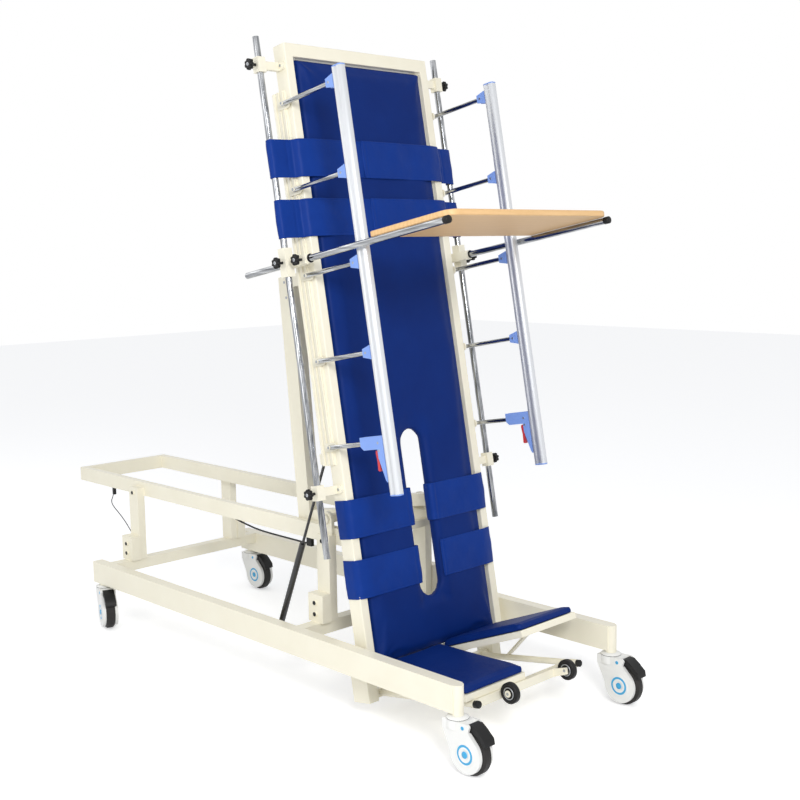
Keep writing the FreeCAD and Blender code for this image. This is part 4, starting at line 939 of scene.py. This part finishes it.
@dataclass
class ScrewHeads:
    """Socket-head screws set on points by a Geometry Nodes tree."""

    name: str
    body: str
    radius_mm: float
    height_mm: float
    places: Sequence[tuple[Vector, Facing]]
    socket_share: float = 0.5
    finish: Finish = ZINC
    facets: int = 24
    rim_share: float = 0.86
    rim_rise: float = 0.0002
    socket_depth: float = 0.7

    def tree(self) -> Tree:
        """Build the node tree: a turned head with a sunk socket, set on each point.

        Returns:
            The geometry node group.
        """
        group = bpy.data.node_groups.new(f"{self.name}_tree", "GeometryNodeTree")
        for name, way, kind in (("Points", "INPUT", "Geometry"), ("Radius", "INPUT", "Float"),
                                ("Height", "INPUT", "Float"), ("Socket", "INPUT", "Float"),
                                ("Heads", "OUTPUT", "Geometry")):
            group.interface.new_socket(name, in_out=way, socket_type=f"NodeSocket{kind}")
        source = add_node(group, "NodeGroupInput")
        head = add_node(group, "MeshCylinder", {"Vertices": self.facets},
                        {"Radius": source["Radius"], "Depth": source["Height"]}, fill_type="NGON")
        rim = add_node(group, "ExtrudeMesh", {"Offset Scale": self.rim_rise},
                       {"Mesh": head["Mesh"], "Selection": head["Top"]}, mode="FACES")
        narrow = add_node(group, "ScaleElements", {"Scale": self.rim_share},
                          {"Geometry": rim["Mesh"], "Selection": rim["Top"]}, domain="FACE")
        lip = add_node(group, "ExtrudeMesh", {"Offset Scale": 0.0},
                       {"Mesh": narrow["Geometry"], "Selection": rim["Top"]}, mode="FACES")
        inner = add_node(group, "ScaleElements", None, {"Geometry": lip["Mesh"], "Selection": lip["Top"],
                                                        "Scale": source["Socket"]}, domain="FACE")
        sink = add_node(group, "ShaderNodeMath", {1: -self.socket_depth}, {0: source["Height"]},
                        operation="MULTIPLY")
        well = add_node(group, "ExtrudeMesh", None, {"Mesh": inner["Geometry"], "Selection": lip["Top"],
                                                     "Offset Scale": sink["Value"]}, mode="FACES")
        facing = add_node(group, "InputNamedAttribute", {"Name": "facing"}, data_type="FLOAT_VECTOR")
        turn = add_node(group, "FunctionNodeAlignRotationToVector", None, {"Vector": facing["Attribute"]},
                        axis="Z")
        spread = add_node(group, "InstanceOnPoints", None, {
            "Points": source["Points"], "Instance": well["Mesh"], "Rotation": turn["Rotation"]})
        real = add_node(group, "RealizeInstances", None, {"Geometry": spread["Instances"]})
        coated = add_node(group, "SetMaterial", {"Material": self.finish.build()},
                          {"Geometry": real["Geometry"]})
        add_node(group, "NodeGroupOutput", None, {"Heads": coated["Geometry"]})
        return group

    def build(self) -> None:
        """Set the screws and turn them into one plain piece."""
        mesh = bpy.data.meshes.new(self.name)
        mesh.from_pydata([place for place, _ in self.places], [], [])
        facing = mesh.attributes.new("facing", "FLOAT_VECTOR", "POINT")
        for item, (_, way) in zip(facing.data, self.places):
            item.vector = way.value
        piece = add_object(self.name, mesh, self.finish)
        group = self.tree()
        modifier = modify(piece, "screws", "NODES", node_group=group)
        sizes = {"Radius": self.radius_mm * MM, "Height": self.height_mm * MM, "Socket": self.socket_share}
        for item in group.interface.items_tree:
            if item.name in sizes:
                modifier[item.identifier] = sizes[item.name]
        settle(piece)
        report(piece, self.body)
        LOG.info("set %d screws of %s", len(self.places), self.name)


@dataclass
class Hardware:
    """Screw heads of the base, the lift frame, the guard brackets and the rod clamps.

    Places give the distance from the middle plane to the face first. Those of the base go on with world Y
    and Z, those of the bed with the distance along it and out of it.
    """

    guard_first: float = 1709.0
    guard_pitch: float = 258.5
    guard_face: Point = (330.7, -14.0)
    guard_count: int = 5
    base_lines: Point = (-378.0, 738.0)
    base_bolts: Sequence[Point] = ((271.4, 267.3), (271.4, 303.7), (235.4, 496.75))
    bed_bolts: Sequence[Place] = (
        (174.2, 1215.0, -308.8), (174.2, 1165.0, -308.8), (311.2, 1825.0, -18.0), (311.2, 547.0, -18.0))
    roller_bolts: Point = (114.3, 143.7)
    roller_line: Point = (-80.0, 397.0)
    pin_depth: float = 205.0
    trigger_pin: Point = (653.0, 206.0)
    pin_faces: Point = (309.6, 330.4)

    def build(self) -> None:
        """Set the screws of each body."""
        base = []
        joints = []
        for side in Side:
            s = side.value
            way, inward = (Facing.RIGHT, Facing.LEFT) if side is Side.RIGHT else (Facing.LEFT, Facing.RIGHT)
            base += [(Vector((s * x, y, z)) * MM, way) for y in self.base_lines for x, z in self.base_bolts]
            face, depth = self.guard_face
            places = [(face, v, depth) for v in self.guard_lines()] + list(self.bed_bolts)
            joints += [(BED.place(s * u, v, n), way) for u, v, n in places]
            joints += [(BED.place(s * u, *self.roller_line), turned)
                       for u, turned in zip(self.roller_bolts, (inward, way))]
        ScrewHeads("base_screw_heads", "base", 6.8, 1.6, base, 0.6, BLACK_OXIDE).build()
        ScrewHeads("guard_screw_heads", "bed", 4.4, 1.0, joints).build()
        for side in Side:
            self.pins(side)

    def guard_lines(self) -> list[float]:
        """Places of the guard brackets along the bed."""
        return [self.guard_first - k * self.guard_pitch for k in range(self.guard_count)]

    def pins(self, side: Side) -> None:
        """Set the riveted heads of the pins in the connectors and the latch of one guard rail.

        Args:
            side: The side of the table.
        """
        heads = []
        for v, n in [(v, self.pin_depth) for v in self.guard_lines()] + [self.trigger_pin]:
            faces = sorted(side.value * u for u in self.pin_faces)
            heads += [(BED.place(u, v, n), way) for u, way in zip(faces, (Facing.LEFT, Facing.RIGHT))]
        ScrewHeads(f"guard_pin_heads_{side.word}", f"guard_{side.word}", 3.6, 0.9, heads, 0.45).build()


@dataclass
class EndCaps:
    """Moulded plugs on the open ends of round tubes, and bushings where the tray's tubes leave clamps."""

    cap: Sequence[Point] = (
        (0, -16.0), (10.4, -16.0), (10.9, -15.4), (10.9, 0.2), (10.0, 1.4), (7.9, 2.0), (0, 2.2))
    bushing: Sequence[Point] = (
        (10.3, -2.0), (13.4, -2.0), (13.4, 1.6), (12.6, 2.4), (10.3, 2.4), (10.3, -2.0))
    tray_end: Place = (346.0, 1235.0, 612.0)
    foot_end: Place = (230.0, -89.0, 365.0)
    clamp_end: Place = (346.0, 1235.0, 42.0)

    def build(self) -> None:
        """Put caps on the tray tubes and the foot tubes, and bushings on the tray's clamps."""
        out = (BED.place(0, 0, 1) - BED.place(0, 0, 0)).normalized()
        plan = (("tray_tube_caps", "tray", self.cap, self.tray_end),
                ("foot_tube_caps", "bed", self.cap, self.foot_end),
                ("tray_bushings", "tray_carriage", self.bushing, self.clamp_end))
        for name, body, profile, (u, v, n) in plan:
            tips = [BED.place(u * side.value, v, n) for side in Side]

            def fill(work: Work, tips: Sequence[Vector] = tips,
                     profile: Sequence[Point] = profile) -> None:
                """Fill the mesh with the piece's faces."""
                for tip in tips:
                    lathe(work, profile, axis_matrix(tip, out))

            make_piece(name, fill, BLACK_NYLON, body)
            LOG.info("capped %s", name)


@dataclass
class GuardRail:
    """One guard rail: extruded bar with grooves and moulded end plugs, arms, connectors and trigger."""

    side: Side
    plane: float = 320.0
    span: Point = (525.0, 1745.0)
    depth: Point = (225.0, 265.0)
    width: float = 25.0
    corner: float = 9.0
    groove: float = 0.7
    groove_mouth: float = 5.2
    groove_floor: float = 4.7
    arms: int = 5
    plug_levels: Sequence[Point] = ((0.6, -0.5), (-0.3, 0.0), (-0.3, 2.4), (1.6, 4.0), (5.0, 4.6))
    plug_corner_share: float = 0.8

    def section(self) -> list[Point]:
        """Outline of the extrusion across its length, with a shallow groove on both wide faces."""
        half = self.width / 2
        middle = sum(self.depth) / 2
        points = rounded_box((-half, half), self.depth, self.corner)
        grooved: list[Point] = []
        for a, b in zip(points, points[1:] + points[:1]):
            grooved.append(a)
            if abs(abs(a[0]) - half) < MERGE and abs(a[0] - b[0]) < MERGE and abs(a[1] - b[1]) > self.corner:
                way = 1 if b[1] > a[1] else -1
                mouth, floor = self.groove_mouth * way, self.groove_floor * way
                inset = a[0] - math.copysign(self.groove, a[0])
                grooved += [(a[0], middle - mouth), (inset, middle - floor), (inset, middle + floor),
                            (a[0], middle + mouth)]
        return grooved

    def ring(self, work: Work, outline: Sequence[Point], v: float) -> list[bmesh.types.BMVert]:
        """Set an outline's vertices across the bar.

        Args:
            work: The bmesh to add to.
            outline: Points across the bar.
            v: Their place along the bed.

        Returns:
            The new vertices.
        """
        x = self.side.value * self.plane
        return [work.verts.new(BED.place(x + a, v, b)) for a, b in outline]

    def extrusion(self, work: Work) -> None:
        """Fill a bmesh with the bar."""
        skin(work, [self.ring(work, self.section(), v) for v in self.span])

    def plugs(self, work: Work) -> None:
        """Fill a bmesh with the two end plugs."""
        half = self.width / 2
        for v, way in zip(self.span, (-1, 1)):
            rings = []
            for inset, push in self.plug_levels:
                low, high = self.depth
                outline = rounded_box((inset - half, half - inset), (low + inset, high - inset),
                                      self.corner - inset * self.plug_corner_share)
                rings.append(self.ring(work, outline, v + way * push))
            skin(work, rings)

    def build(self) -> None:
        """Make the bar and dress the rest of the rail."""
        word = self.side.word
        body = f"guard_{word}"
        name = f"guard_extrusion_{word}"
        piece = add_object(name, mesh_from(name, self.extrusion, False), ANODISED)
        modify(piece, "edge", "BEVEL", width=0.3 * MM, segments=1, limit_method="ANGLE")
        settle(piece)
        for face in piece.data.polygons:
            face.use_smooth = len(face.vertices) < 6
        report(piece, body, f"guard_bar_{word}")
        make_piece(f"guard_plugs_{word}", self.plugs, BLUE_ABS, body)
        softened(f"guard_connectors_{word}", f"guard_mouldings_{word}", body, BLUE_ABS, 0.8)
        softened(f"guard_trigger_{word}", f"guard_finger_trigger_{word}", f"trigger_{word}", RED_ABS, 1.2,
                 3)
        dress([f"guard_arm_{word}_{k + 1}" for k in range(self.arms)], CHROME_ALONG)
        LOG.info("built guard rail %s", word)


@dataclass(frozen=True)
class Turning:
    """A turned trim piece of a caster, on its stem or, with a shift, on both faces of its housing.

    The shift is the place ahead of the axle and above it. A split of zero leaves all edges soft.
    """

    part: str
    profile: Sequence[Point]
    finish: Finish
    slot: str = "caster_plastic"
    shift: Optional[Point] = (0.0, 0.0)
    steps: int = 48
    split: float = 50.0


@dataclass
class Caster:
    """Dress of one caster: moulded housing with a cyan ring badge, pedal, tread, collar and washer."""

    end: str
    side: Side
    stem: Point
    swivel: float = 0.0
    trail: float = 50.0
    wheel_radius: float = 62.5
    half_width: float = 28.0
    turnings: Sequence[Turning] = (
        Turning("face", ((0, -0.5), (34, -0.5), (34, 0.8), (33.2, 1.4), (28.6, 1.4), (27.8, 0.6), (22, 0.6),
                         (21.2, 1.4), (14, 1.4), (13.2, 0.6), (0, 0.6)), WHITE_PP),
        Turning("ring", ((27.9, 0.4), (27.7, 1), (27, 1.25), (19.4, 1.25), (18.7, 1), (18.5, 0.4),
                         (27.9, 0.4)),
                CYAN_PP, steps=64, split=0.0),
        Turning("hub", ((0, 0.4), (9.6, 0.4), (9.6, 1.9), (8.8, 2.6), (0, 2.8)), CYAN_PP),
        Turning("plug", ((0, -0.5), (5.4, -0.5), (5.4, 0.5), (4.8, 1), (0, 1.2)), CYAN_PP, shift=(8, 72)),
        Turning("collar", ((0, 147.8), (31.4, 147.8), (32.2, 148.8), (31.2, 150.2), (23, 153.6), (0, 153.6)),
                WHITE_PP, shift=None, split=35.0),
        Turning("washer", ((0, 146.4), (31.8, 146.4), (31.8, 148.1), (0, 148.1)),
                BLACK_NYLON, "black_plastic", None, split=35.0))

    def places(self, turning: Turning) -> list[Matrix]:
        """Matrices from a turning's millimetres to world metres.

        Args:
            turning: The trim piece.

        Returns:
            One matrix on the stem, or one for each face of the housing.
        """
        turn = Matrix.Rotation(math.radians(self.swivel), 4, "Z")
        stem = Matrix.Translation(Vector((*self.stem, 0)) * MM) @ turn @ Matrix.Scale(MM, 4)
        if turning.shift is None:
            return [stem]
        y, z = turning.shift[0] - self.trail, turning.shift[1] + self.wheel_radius
        return [stem @ Matrix.Translation((way * self.half_width, y, z))
                @ Matrix.Rotation(math.radians(90 * way), 4, "Y") for way in (-1, 1)]

    def build(self) -> None:
        """Make the caster's pieces."""
        tag = f"{self.end}_{self.side.word}"
        body = f"caster_{tag}"
        softened(f"caster_housing_{tag}", f"caster_shell_{tag}", body, WHITE_PP, 3.0, 3)
        softened(f"caster_pedal_{tag}", f"caster_brake_pedal_{tag}", f"pedal_{tag}", BLACK_NYLON, 1.4)
        dress([f"caster_wheel_{tag}"], TREAD)
        for turning in self.turnings:
            def fill(work: Work, turning: Turning = turning) -> None:
                """Fill the mesh with the piece's faces."""
                for place in self.places(turning):
                    lathe(work, turning.profile, place, turning.steps)

            make_piece(f"caster_{turning.part}_{tag}", fill, turning.finish, body,
                       split=turning.split)
        LOG.info("built caster %s", tag)


def mirrored(face: Sequence[Point], half: float) -> list[Point]:
    """Profile of a disc from one face's radius and inset pairs and half of the disc's width."""
    low = [(radius, inset - half) for radius, inset in face]
    return low + [(radius, -height) for radius, height in reversed(low)]


@dataclass
class Roller:
    """A small moulded roller with a recessed face and a hub."""

    side: Side
    line: float = 130.0
    place_v: float = -80.0
    place_n: float = 397.0
    half: float = 10.0
    steps: int = 48
    tyre: Sequence[Point] = ((0, 2.4), (9, 2.4), (9, 0.4), (12, 0), (14, 1.6), (23, 2.6), (25, 0.2), (28, 0),
                             (30.4, 2.2), (31, 4))
    hub: Sequence[Point] = ((0, -0.4), (7.4, -0.4), (8.2, 0.4))
    trim: Sequence[Point] = ((15.4, 1.6), (15.8, 0.4), (18.0, 0.4), (18.4, 1.6))

    def build(self) -> None:
        """Turn the roller and stand it in for its node."""
        word = self.side.word
        place = BED.place(self.side.value * self.line, self.place_v, self.place_n)
        matrix = axis_matrix(place, Vector((1, 0, 0)))
        tyre, hub, trim = (mirrored(face, self.half) for face in (self.tyre, self.hub, self.trim))
        make_piece(f"roller_tyre_{word}", lambda work: lathe(work, tyre, matrix, self.steps), BLACK_NYLON,
                   f"roller_{word}", f"foot_roller_{word}", 55.0)

        def metal(work: Work) -> None:
            """Fill the mesh with the piece's metal."""
            for outline in (hub, trim + trim[:1]):
                lathe(work, outline, matrix, self.steps)

        make_piece(f"roller_hub_{word}", metal, ZINC, f"roller_{word}")
        LOG.info("turned roller %s", word)


@dataclass
class StarKnob:
    """A moulded clamp knob with seven lobes, a dished face, a boss and a zinc insert."""

    kind: str
    side: Side
    radius: float = 17.0
    depth: float = 15.0
    lobes: int = 7
    flute: float = 0.24
    lobe_steps: int = 12
    lobe_power: float = 1.6
    back_levels: Sequence[tuple[float, float, float]] = (
        (0.0, 0.45, 0.3), (0.0, 0.78, 1.0), (1.0, 0.94, 1.0), (2.6, 1.0, 1.0))
    face_levels: Sequence[tuple[float, float, float]] = (
        (-4.4, 1.0, 1.0), (-2.2, 0.95, 1.0), (-0.8, 0.84, 0.9), (-0.1, 0.66, 0.5), (-0.2, 0.50, 0.1),
        (-1.4, 0.43, 0.0), (-1.8, 0.36, 0.0))
    boss: Sequence[Point] = ((0, -16), (4, -16), (4, -4), (6.2, -3.4), (7.2, -2.4), (7.6, 0.4), (0, 0.4))
    insert: Sequence[Point] = ((0, -2.4), (5.4, -2.4), (5.4, -1), (4.8, -0.5), (2.6, -0.5), (2.3, -1.6),
                               (0, -1.6))

    def grip(self, work: Work, place: Matrix) -> None:
        """Add the lobed grip and the turned boss and shaft behind it.

        Args:
            work: The bmesh to fill.
            place: Matrix from the knob's millimetres, with its face at zero, to world metres.
        """
        steps = self.lobe_steps * self.lobes
        levels = [(height - self.depth, share, lobed) for height, share, lobed in self.back_levels]
        rings = []
        for height, share, lobed in levels + list(self.face_levels):
            ring = []
            for k in range(steps):
                angle = 2 * math.pi * k / steps
                cut = self.flute * lobed * (0.5 - 0.5 * math.cos(self.lobes * angle)) ** self.lobe_power
                reach = self.radius * share * (1 - cut)
                corner = Vector((reach * math.cos(angle), reach * math.sin(angle), height))
                ring.append(work.verts.new(place @ corner))
            rings.append(ring)
        skin(work, rings)
        lathe(work, [(radius, height - self.depth) for radius, height in self.boss], place)

    def build(self) -> None:
        """Set the knob and its insert on the place of the node."""
        node = f"{self.kind}_{self.side.word}"
        low, high = (Vector(corner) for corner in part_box(node))
        face = (low + high) / 2
        face.x = high.x if self.side is Side.RIGHT else low.x
        place = axis_matrix(face, Vector((self.side.value, 0, 0)))
        make_piece(f"{self.kind}_grip_{self.side.word}", lambda work: self.grip(work, place), BLACK_NYLON,
                   f"{node}_turn", node, 60.0)
        make_piece(f"{self.kind}_insert_{self.side.word}", lambda work: lathe(work, self.insert, place), ZINC,
                   f"{node}_turn", split=40.0)
        LOG.info("turned knob %s", node)


@dataclass
class ReleaseCable:
    """Cable of the strut inside the left upper rail, with its drop to the front clip and its lever's wire."""

    radius: float = 3.0
    clip: float = 6.0
    rail_bottom: float = 483.5
    route: Sequence[Place] = (
        (-187.5, -265.0, 460.0), (-187.5, -60.0, 460.0), (-187.5, 20.0, 463.0), (-187.5, 75.0, 470.0),
        (-187.5, 125.0, 477.0), (-187.5, 185.0, 493.0), (-187.5, 260.0, 498.0), (-187.5, 700.0, 498.0))
    wire: Sequence[Place] = (
        (-187.5, 951.0, 476.0), (-187.5, 956.0, 450.0), (-187.5, 984.0, 414.0), (-187.5, 905.0, 374.0),
        (-187.5, 845.0, 331.0), (-206.0, 764.0, 288.0))
    wire_radius: float = 1.6
    lever: Point = (943.0, 955.0)
    lever_half: float = 5.0
    lever_bottom: float = 454.0

    def run(self, route: Sequence[Place], radius: float) -> Mesh:
        """Sweep a round section along a route.

        Args:
            route: Points of the line in world millimetres.
            radius: Radius of the section in millimetres.

        Returns:
            The mesh in world metres.
        """
        curve = bpy.data.curves.new("release_cable_route", "CURVE")
        adjust(curve, dimensions="3D", bevel_depth=radius * MM, bevel_resolution=4, use_fill_caps=True)
        spline = curve.splines.new("NURBS")
        spline.points.add(len(route) - 1)
        for point, place in zip(spline.points, route):
            point.co = (*(Vector(place) * MM), 1.0)
        adjust(spline, order_u=3, use_endpoint_u=True, resolution_u=8)
        holder = link_object("release_cable_route", curve)
        mesh = plain_mesh(holder, "release_cable_run")
        bpy.data.objects.remove(holder)
        return mesh

    def build(self) -> None:
        """Make the cable with its front clip and its lever's fitting under the rail."""
        x, y, z = self.route[0]
        boxes = (((x - self.clip, x + self.clip), (y - 2 * self.clip, y + 2 * self.clip),
                  (z - self.clip, self.rail_bottom)),
                 ((x - self.lever_half, x + self.lever_half), self.lever,
                  (self.lever_bottom, self.rail_bottom)))

        def fill(work: Work) -> None:
            """Fill the mesh with the piece's faces."""
            work.from_mesh(self.run(self.route, self.radius))
            work.from_mesh(self.run(self.wire, self.wire_radius))
            for box in boxes:
                middle = Vector([sum(span) / 2 for span in box]) * MM
                size = Vector([span[1] - span[0] for span in box]) * MM
                shape = Matrix.Translation(middle) @ Matrix.Diagonal((*size, 1.0))
                bmesh.ops.create_cube(work, size=1.0, matrix=shape)

        make_piece("strut_release_cable", fill, BLACK_NYLON, "base", "release_cable", 40.0)
        LOG.info("laid the release cable")


@dataclass
class Frames:
    """Welded steel frames, rods, clamps, knobs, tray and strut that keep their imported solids."""

    welded: Sequence[tuple[str, str, str, float, int]] = (
        ("base_frame", "base_welded_tubes", "base", 2.5, 3),
        ("upper_frame", "upper_welded_tubes", "base", 2.5, 3),
        ("bed_frame", "bed_welded_tubes", "bed", 2.5, 3),
        ("lift_frame", "lift_welded_columns", "bed", 2.5, 3),
        ("foot_support", "foot_welded_tubes", "bed", 1.0, 2),
        ("rod_clamps", "rod_clamp_castings", "bed", 1.2, 2),
        ("tray_clamps", "tray_clamp_castings", "tray_carriage", 1.2, 2),
        ("foot_plate_left", "foot_pan_left", "foot_left", 0.8, 2),
        ("foot_plate_right", "foot_pan_right", "foot_right", 0.8, 2),
        ("foot_prop", "foot_prop_stay", "prop", 0.8, 2))
    knobs: Sequence[str] = ("clamp_knob_head", "clamp_knob_foot", "height_knob", "reach_knob")

    def build(self) -> None:
        """Soften the welded frames and dress the rest."""
        for node, name, body, radius, segments in self.welded:
            softened(node, name, body, POWDER_COAT, radius, segments)
        dress(["guard_beams"], POWDER_COAT)
        dress(["side_rods"], CHROME)
        dress(["tray_tubes"], CHROME_ALONG)
        dress(["strut_cylinder", "strut_rod"], BLACK_PAINT)
        ReleaseCable().build()
        dress(["tray_board"], MAPLE)
        for side in Side:
            for kind in self.knobs:
                StarKnob(kind, side).build()


@dataclass
class Studio:
    """Pale floor, soft lights, white surroundings and the camera."""

    azimuth: float = -44.0
    elevation: float = 7.4
    roll: float = -0.9
    place: Place = (-2.608, -3.2026, 1.4205)
    lens: float = 53.7
    panels: Sequence[tuple[str, Place, float, float]] = (
        ("key_panel", (-2.3, -3.9, 2.7), 1.1, 104.0), ("fill_panel", (-3.9, -0.6, 1.9), 2.4, 34.0),
        ("back_panel", (-1.5, 3.6, 3.2), 2.4, 18.0))
    aim: Place = (0.0, -0.2, 0.9)
    floor_size: float = 14.0
    floor_grey: float = 0.86
    floor_glow: float = 0.42
    low_sky: tuple[float, ...] = (0.62, 0.63, 0.65, 1)
    high_sky: tuple[float, ...] = (0.68, 0.69, 0.71, 1)
    high_place: float = 0.75
    sky_strength: float = 0.86

    def build(self) -> None:
        """Make the floor, the world, the lights and the camera."""
        self.floor()
        self.world()
        for panel in self.panels:
            self.lamp(*panel)
        self.camera()

    def floor(self) -> None:
        """Lay a large pale floor that keeps the object's shadow."""
        mesh = bpy.data.meshes.new("studio_floor")
        s = self.floor_size
        mesh.from_pydata([(-s, -s, 0), (s, -s, 0), (s, s, 0), (-s, s, 0)], [], [(0, 1, 2, 3)])
        material, tree = new_material("white_studio_floor")
        shader = add_node(tree, "BsdfDiffuse", {"Color": (*[self.floor_grey] * 3, 1)})
        glow = add_node(tree, "Emission", {"Color": (1, 1, 1, 1), "Strength": self.floor_glow})
        both = add_node(tree, "AddShader", None, {0: shader[0], 1: glow[0]})
        pick = add_node(tree, "MixShader", None, {0: self.seen(tree), 1: shader[0], 2: both[0]})
        add_node(tree, "OutputMaterial", None, {"Surface": pick[0]})
        mesh.materials.append(material)
        link_object("studio_floor", mesh)

    def seen(self, tree: Tree) -> Socket:
        """Tell the rays that see the background, straight or in a mirror, from those that light the object.

        Args:
            tree: The floor's or the world's node tree.

        Returns:
            A socket of 1 for camera, glossy and transmission rays.
        """
        rays = add_node(tree, "LightPath")
        seen = rays["Is Camera Ray"]
        for kind in ("Is Glossy Ray", "Is Transmission Ray"):
            seen = add_node(tree, "Math", None, {0: seen, 1: rays[kind]}, operation="MAXIMUM")[0]
        return seen

    def world(self) -> None:
        """Surround the object with a pale gradient that camera rays see as white."""
        world = bpy.data.worlds.new("studio")
        bpy.context.scene.world = world
        world.use_nodes = True
        tree = world.node_tree
        tree.nodes.clear()
        split = add_node(tree, "SeparateXYZ", None, {0: add_node(tree, "TexCoord")["Generated"]})
        ramp = add_node(tree, "ValToRGB", None, {0: split["Z"]})[0]
        low, high = ramp.node.color_ramp.elements
        adjust(low, position=0.0, color=self.low_sky)
        adjust(high, position=self.high_place, color=self.high_sky)
        soft = add_node(tree, "Background", {"Strength": self.sky_strength}, {0: ramp})
        white = add_node(tree, "Background", {0: (1, 1, 1, 1), "Strength": 1.0})
        pick = add_node(tree, "MixShader", None, {0: self.seen(tree), 1: soft[0], 2: white[0]})
        add_node(tree, "OutputWorld", None, {0: pick[0]})

    def lamp(self, name: str, place: Place, size: float, power: float) -> None:
        """Hang a square soft light that faces the middle of the table.

        Args:
            name: The lamp's name.
            place: Its place in metres.
            size: Its side in metres.
            power: Its power in watts.
        """
        light = bpy.data.lights.new(name, "AREA")
        adjust(light, shape="SQUARE", size=size, energy=power)
        turn = (Vector(self.aim) - Vector(place)).to_track_quat("-Z", "Y")
        adjust(link_object(name, light), location=place, rotation_mode="QUATERNION", rotation_quaternion=turn)

    def camera(self) -> None:
        """Set the camera at the photograph's place and angle."""
        a, e, r = (math.radians(x) for x in (self.azimuth, self.elevation, self.roll))
        back = Vector((math.sin(a) * math.cos(e), -math.cos(a) * math.cos(e), math.sin(e)))
        right = Vector((math.cos(a), math.sin(a), 0))
        up = back.cross(right)
        turned = right * math.cos(r) + up * math.sin(r)
        upright = up * math.cos(r) - right * math.sin(r)
        matrix = Matrix((turned, upright, back)).transposed().to_4x4()
        matrix.translation = Vector(self.place)
        data = bpy.data.cameras.new("camera")
        adjust(data, lens=self.lens, sensor_width=36.0)
        camera = link_object("camera", data)
        camera.matrix_world = matrix
        bpy.context.scene.camera = camera


def main() -> None:
    """Build the whole table and its studio."""
    logging.basicConfig(level=logging.INFO, format="%(name)s %(message)s")
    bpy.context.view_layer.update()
    bpy.context.scene.view_settings.view_transform = "Standard"
    Upholstery().build()
    Straps().build()
    Frames().build()
    for side in Side:
        GuardRail(side).build()
        Roller(side).build()
    for end, y in STEM_ENDS:
        for side in Side:
            Caster(end, side, (side.value * STEM_LINE, y), SWIVELS.get((end, side), 0.0)).build()
    Hardware().build()
    EndCaps().build()
    Studio().build()


if __name__ == "__main__":
    main()
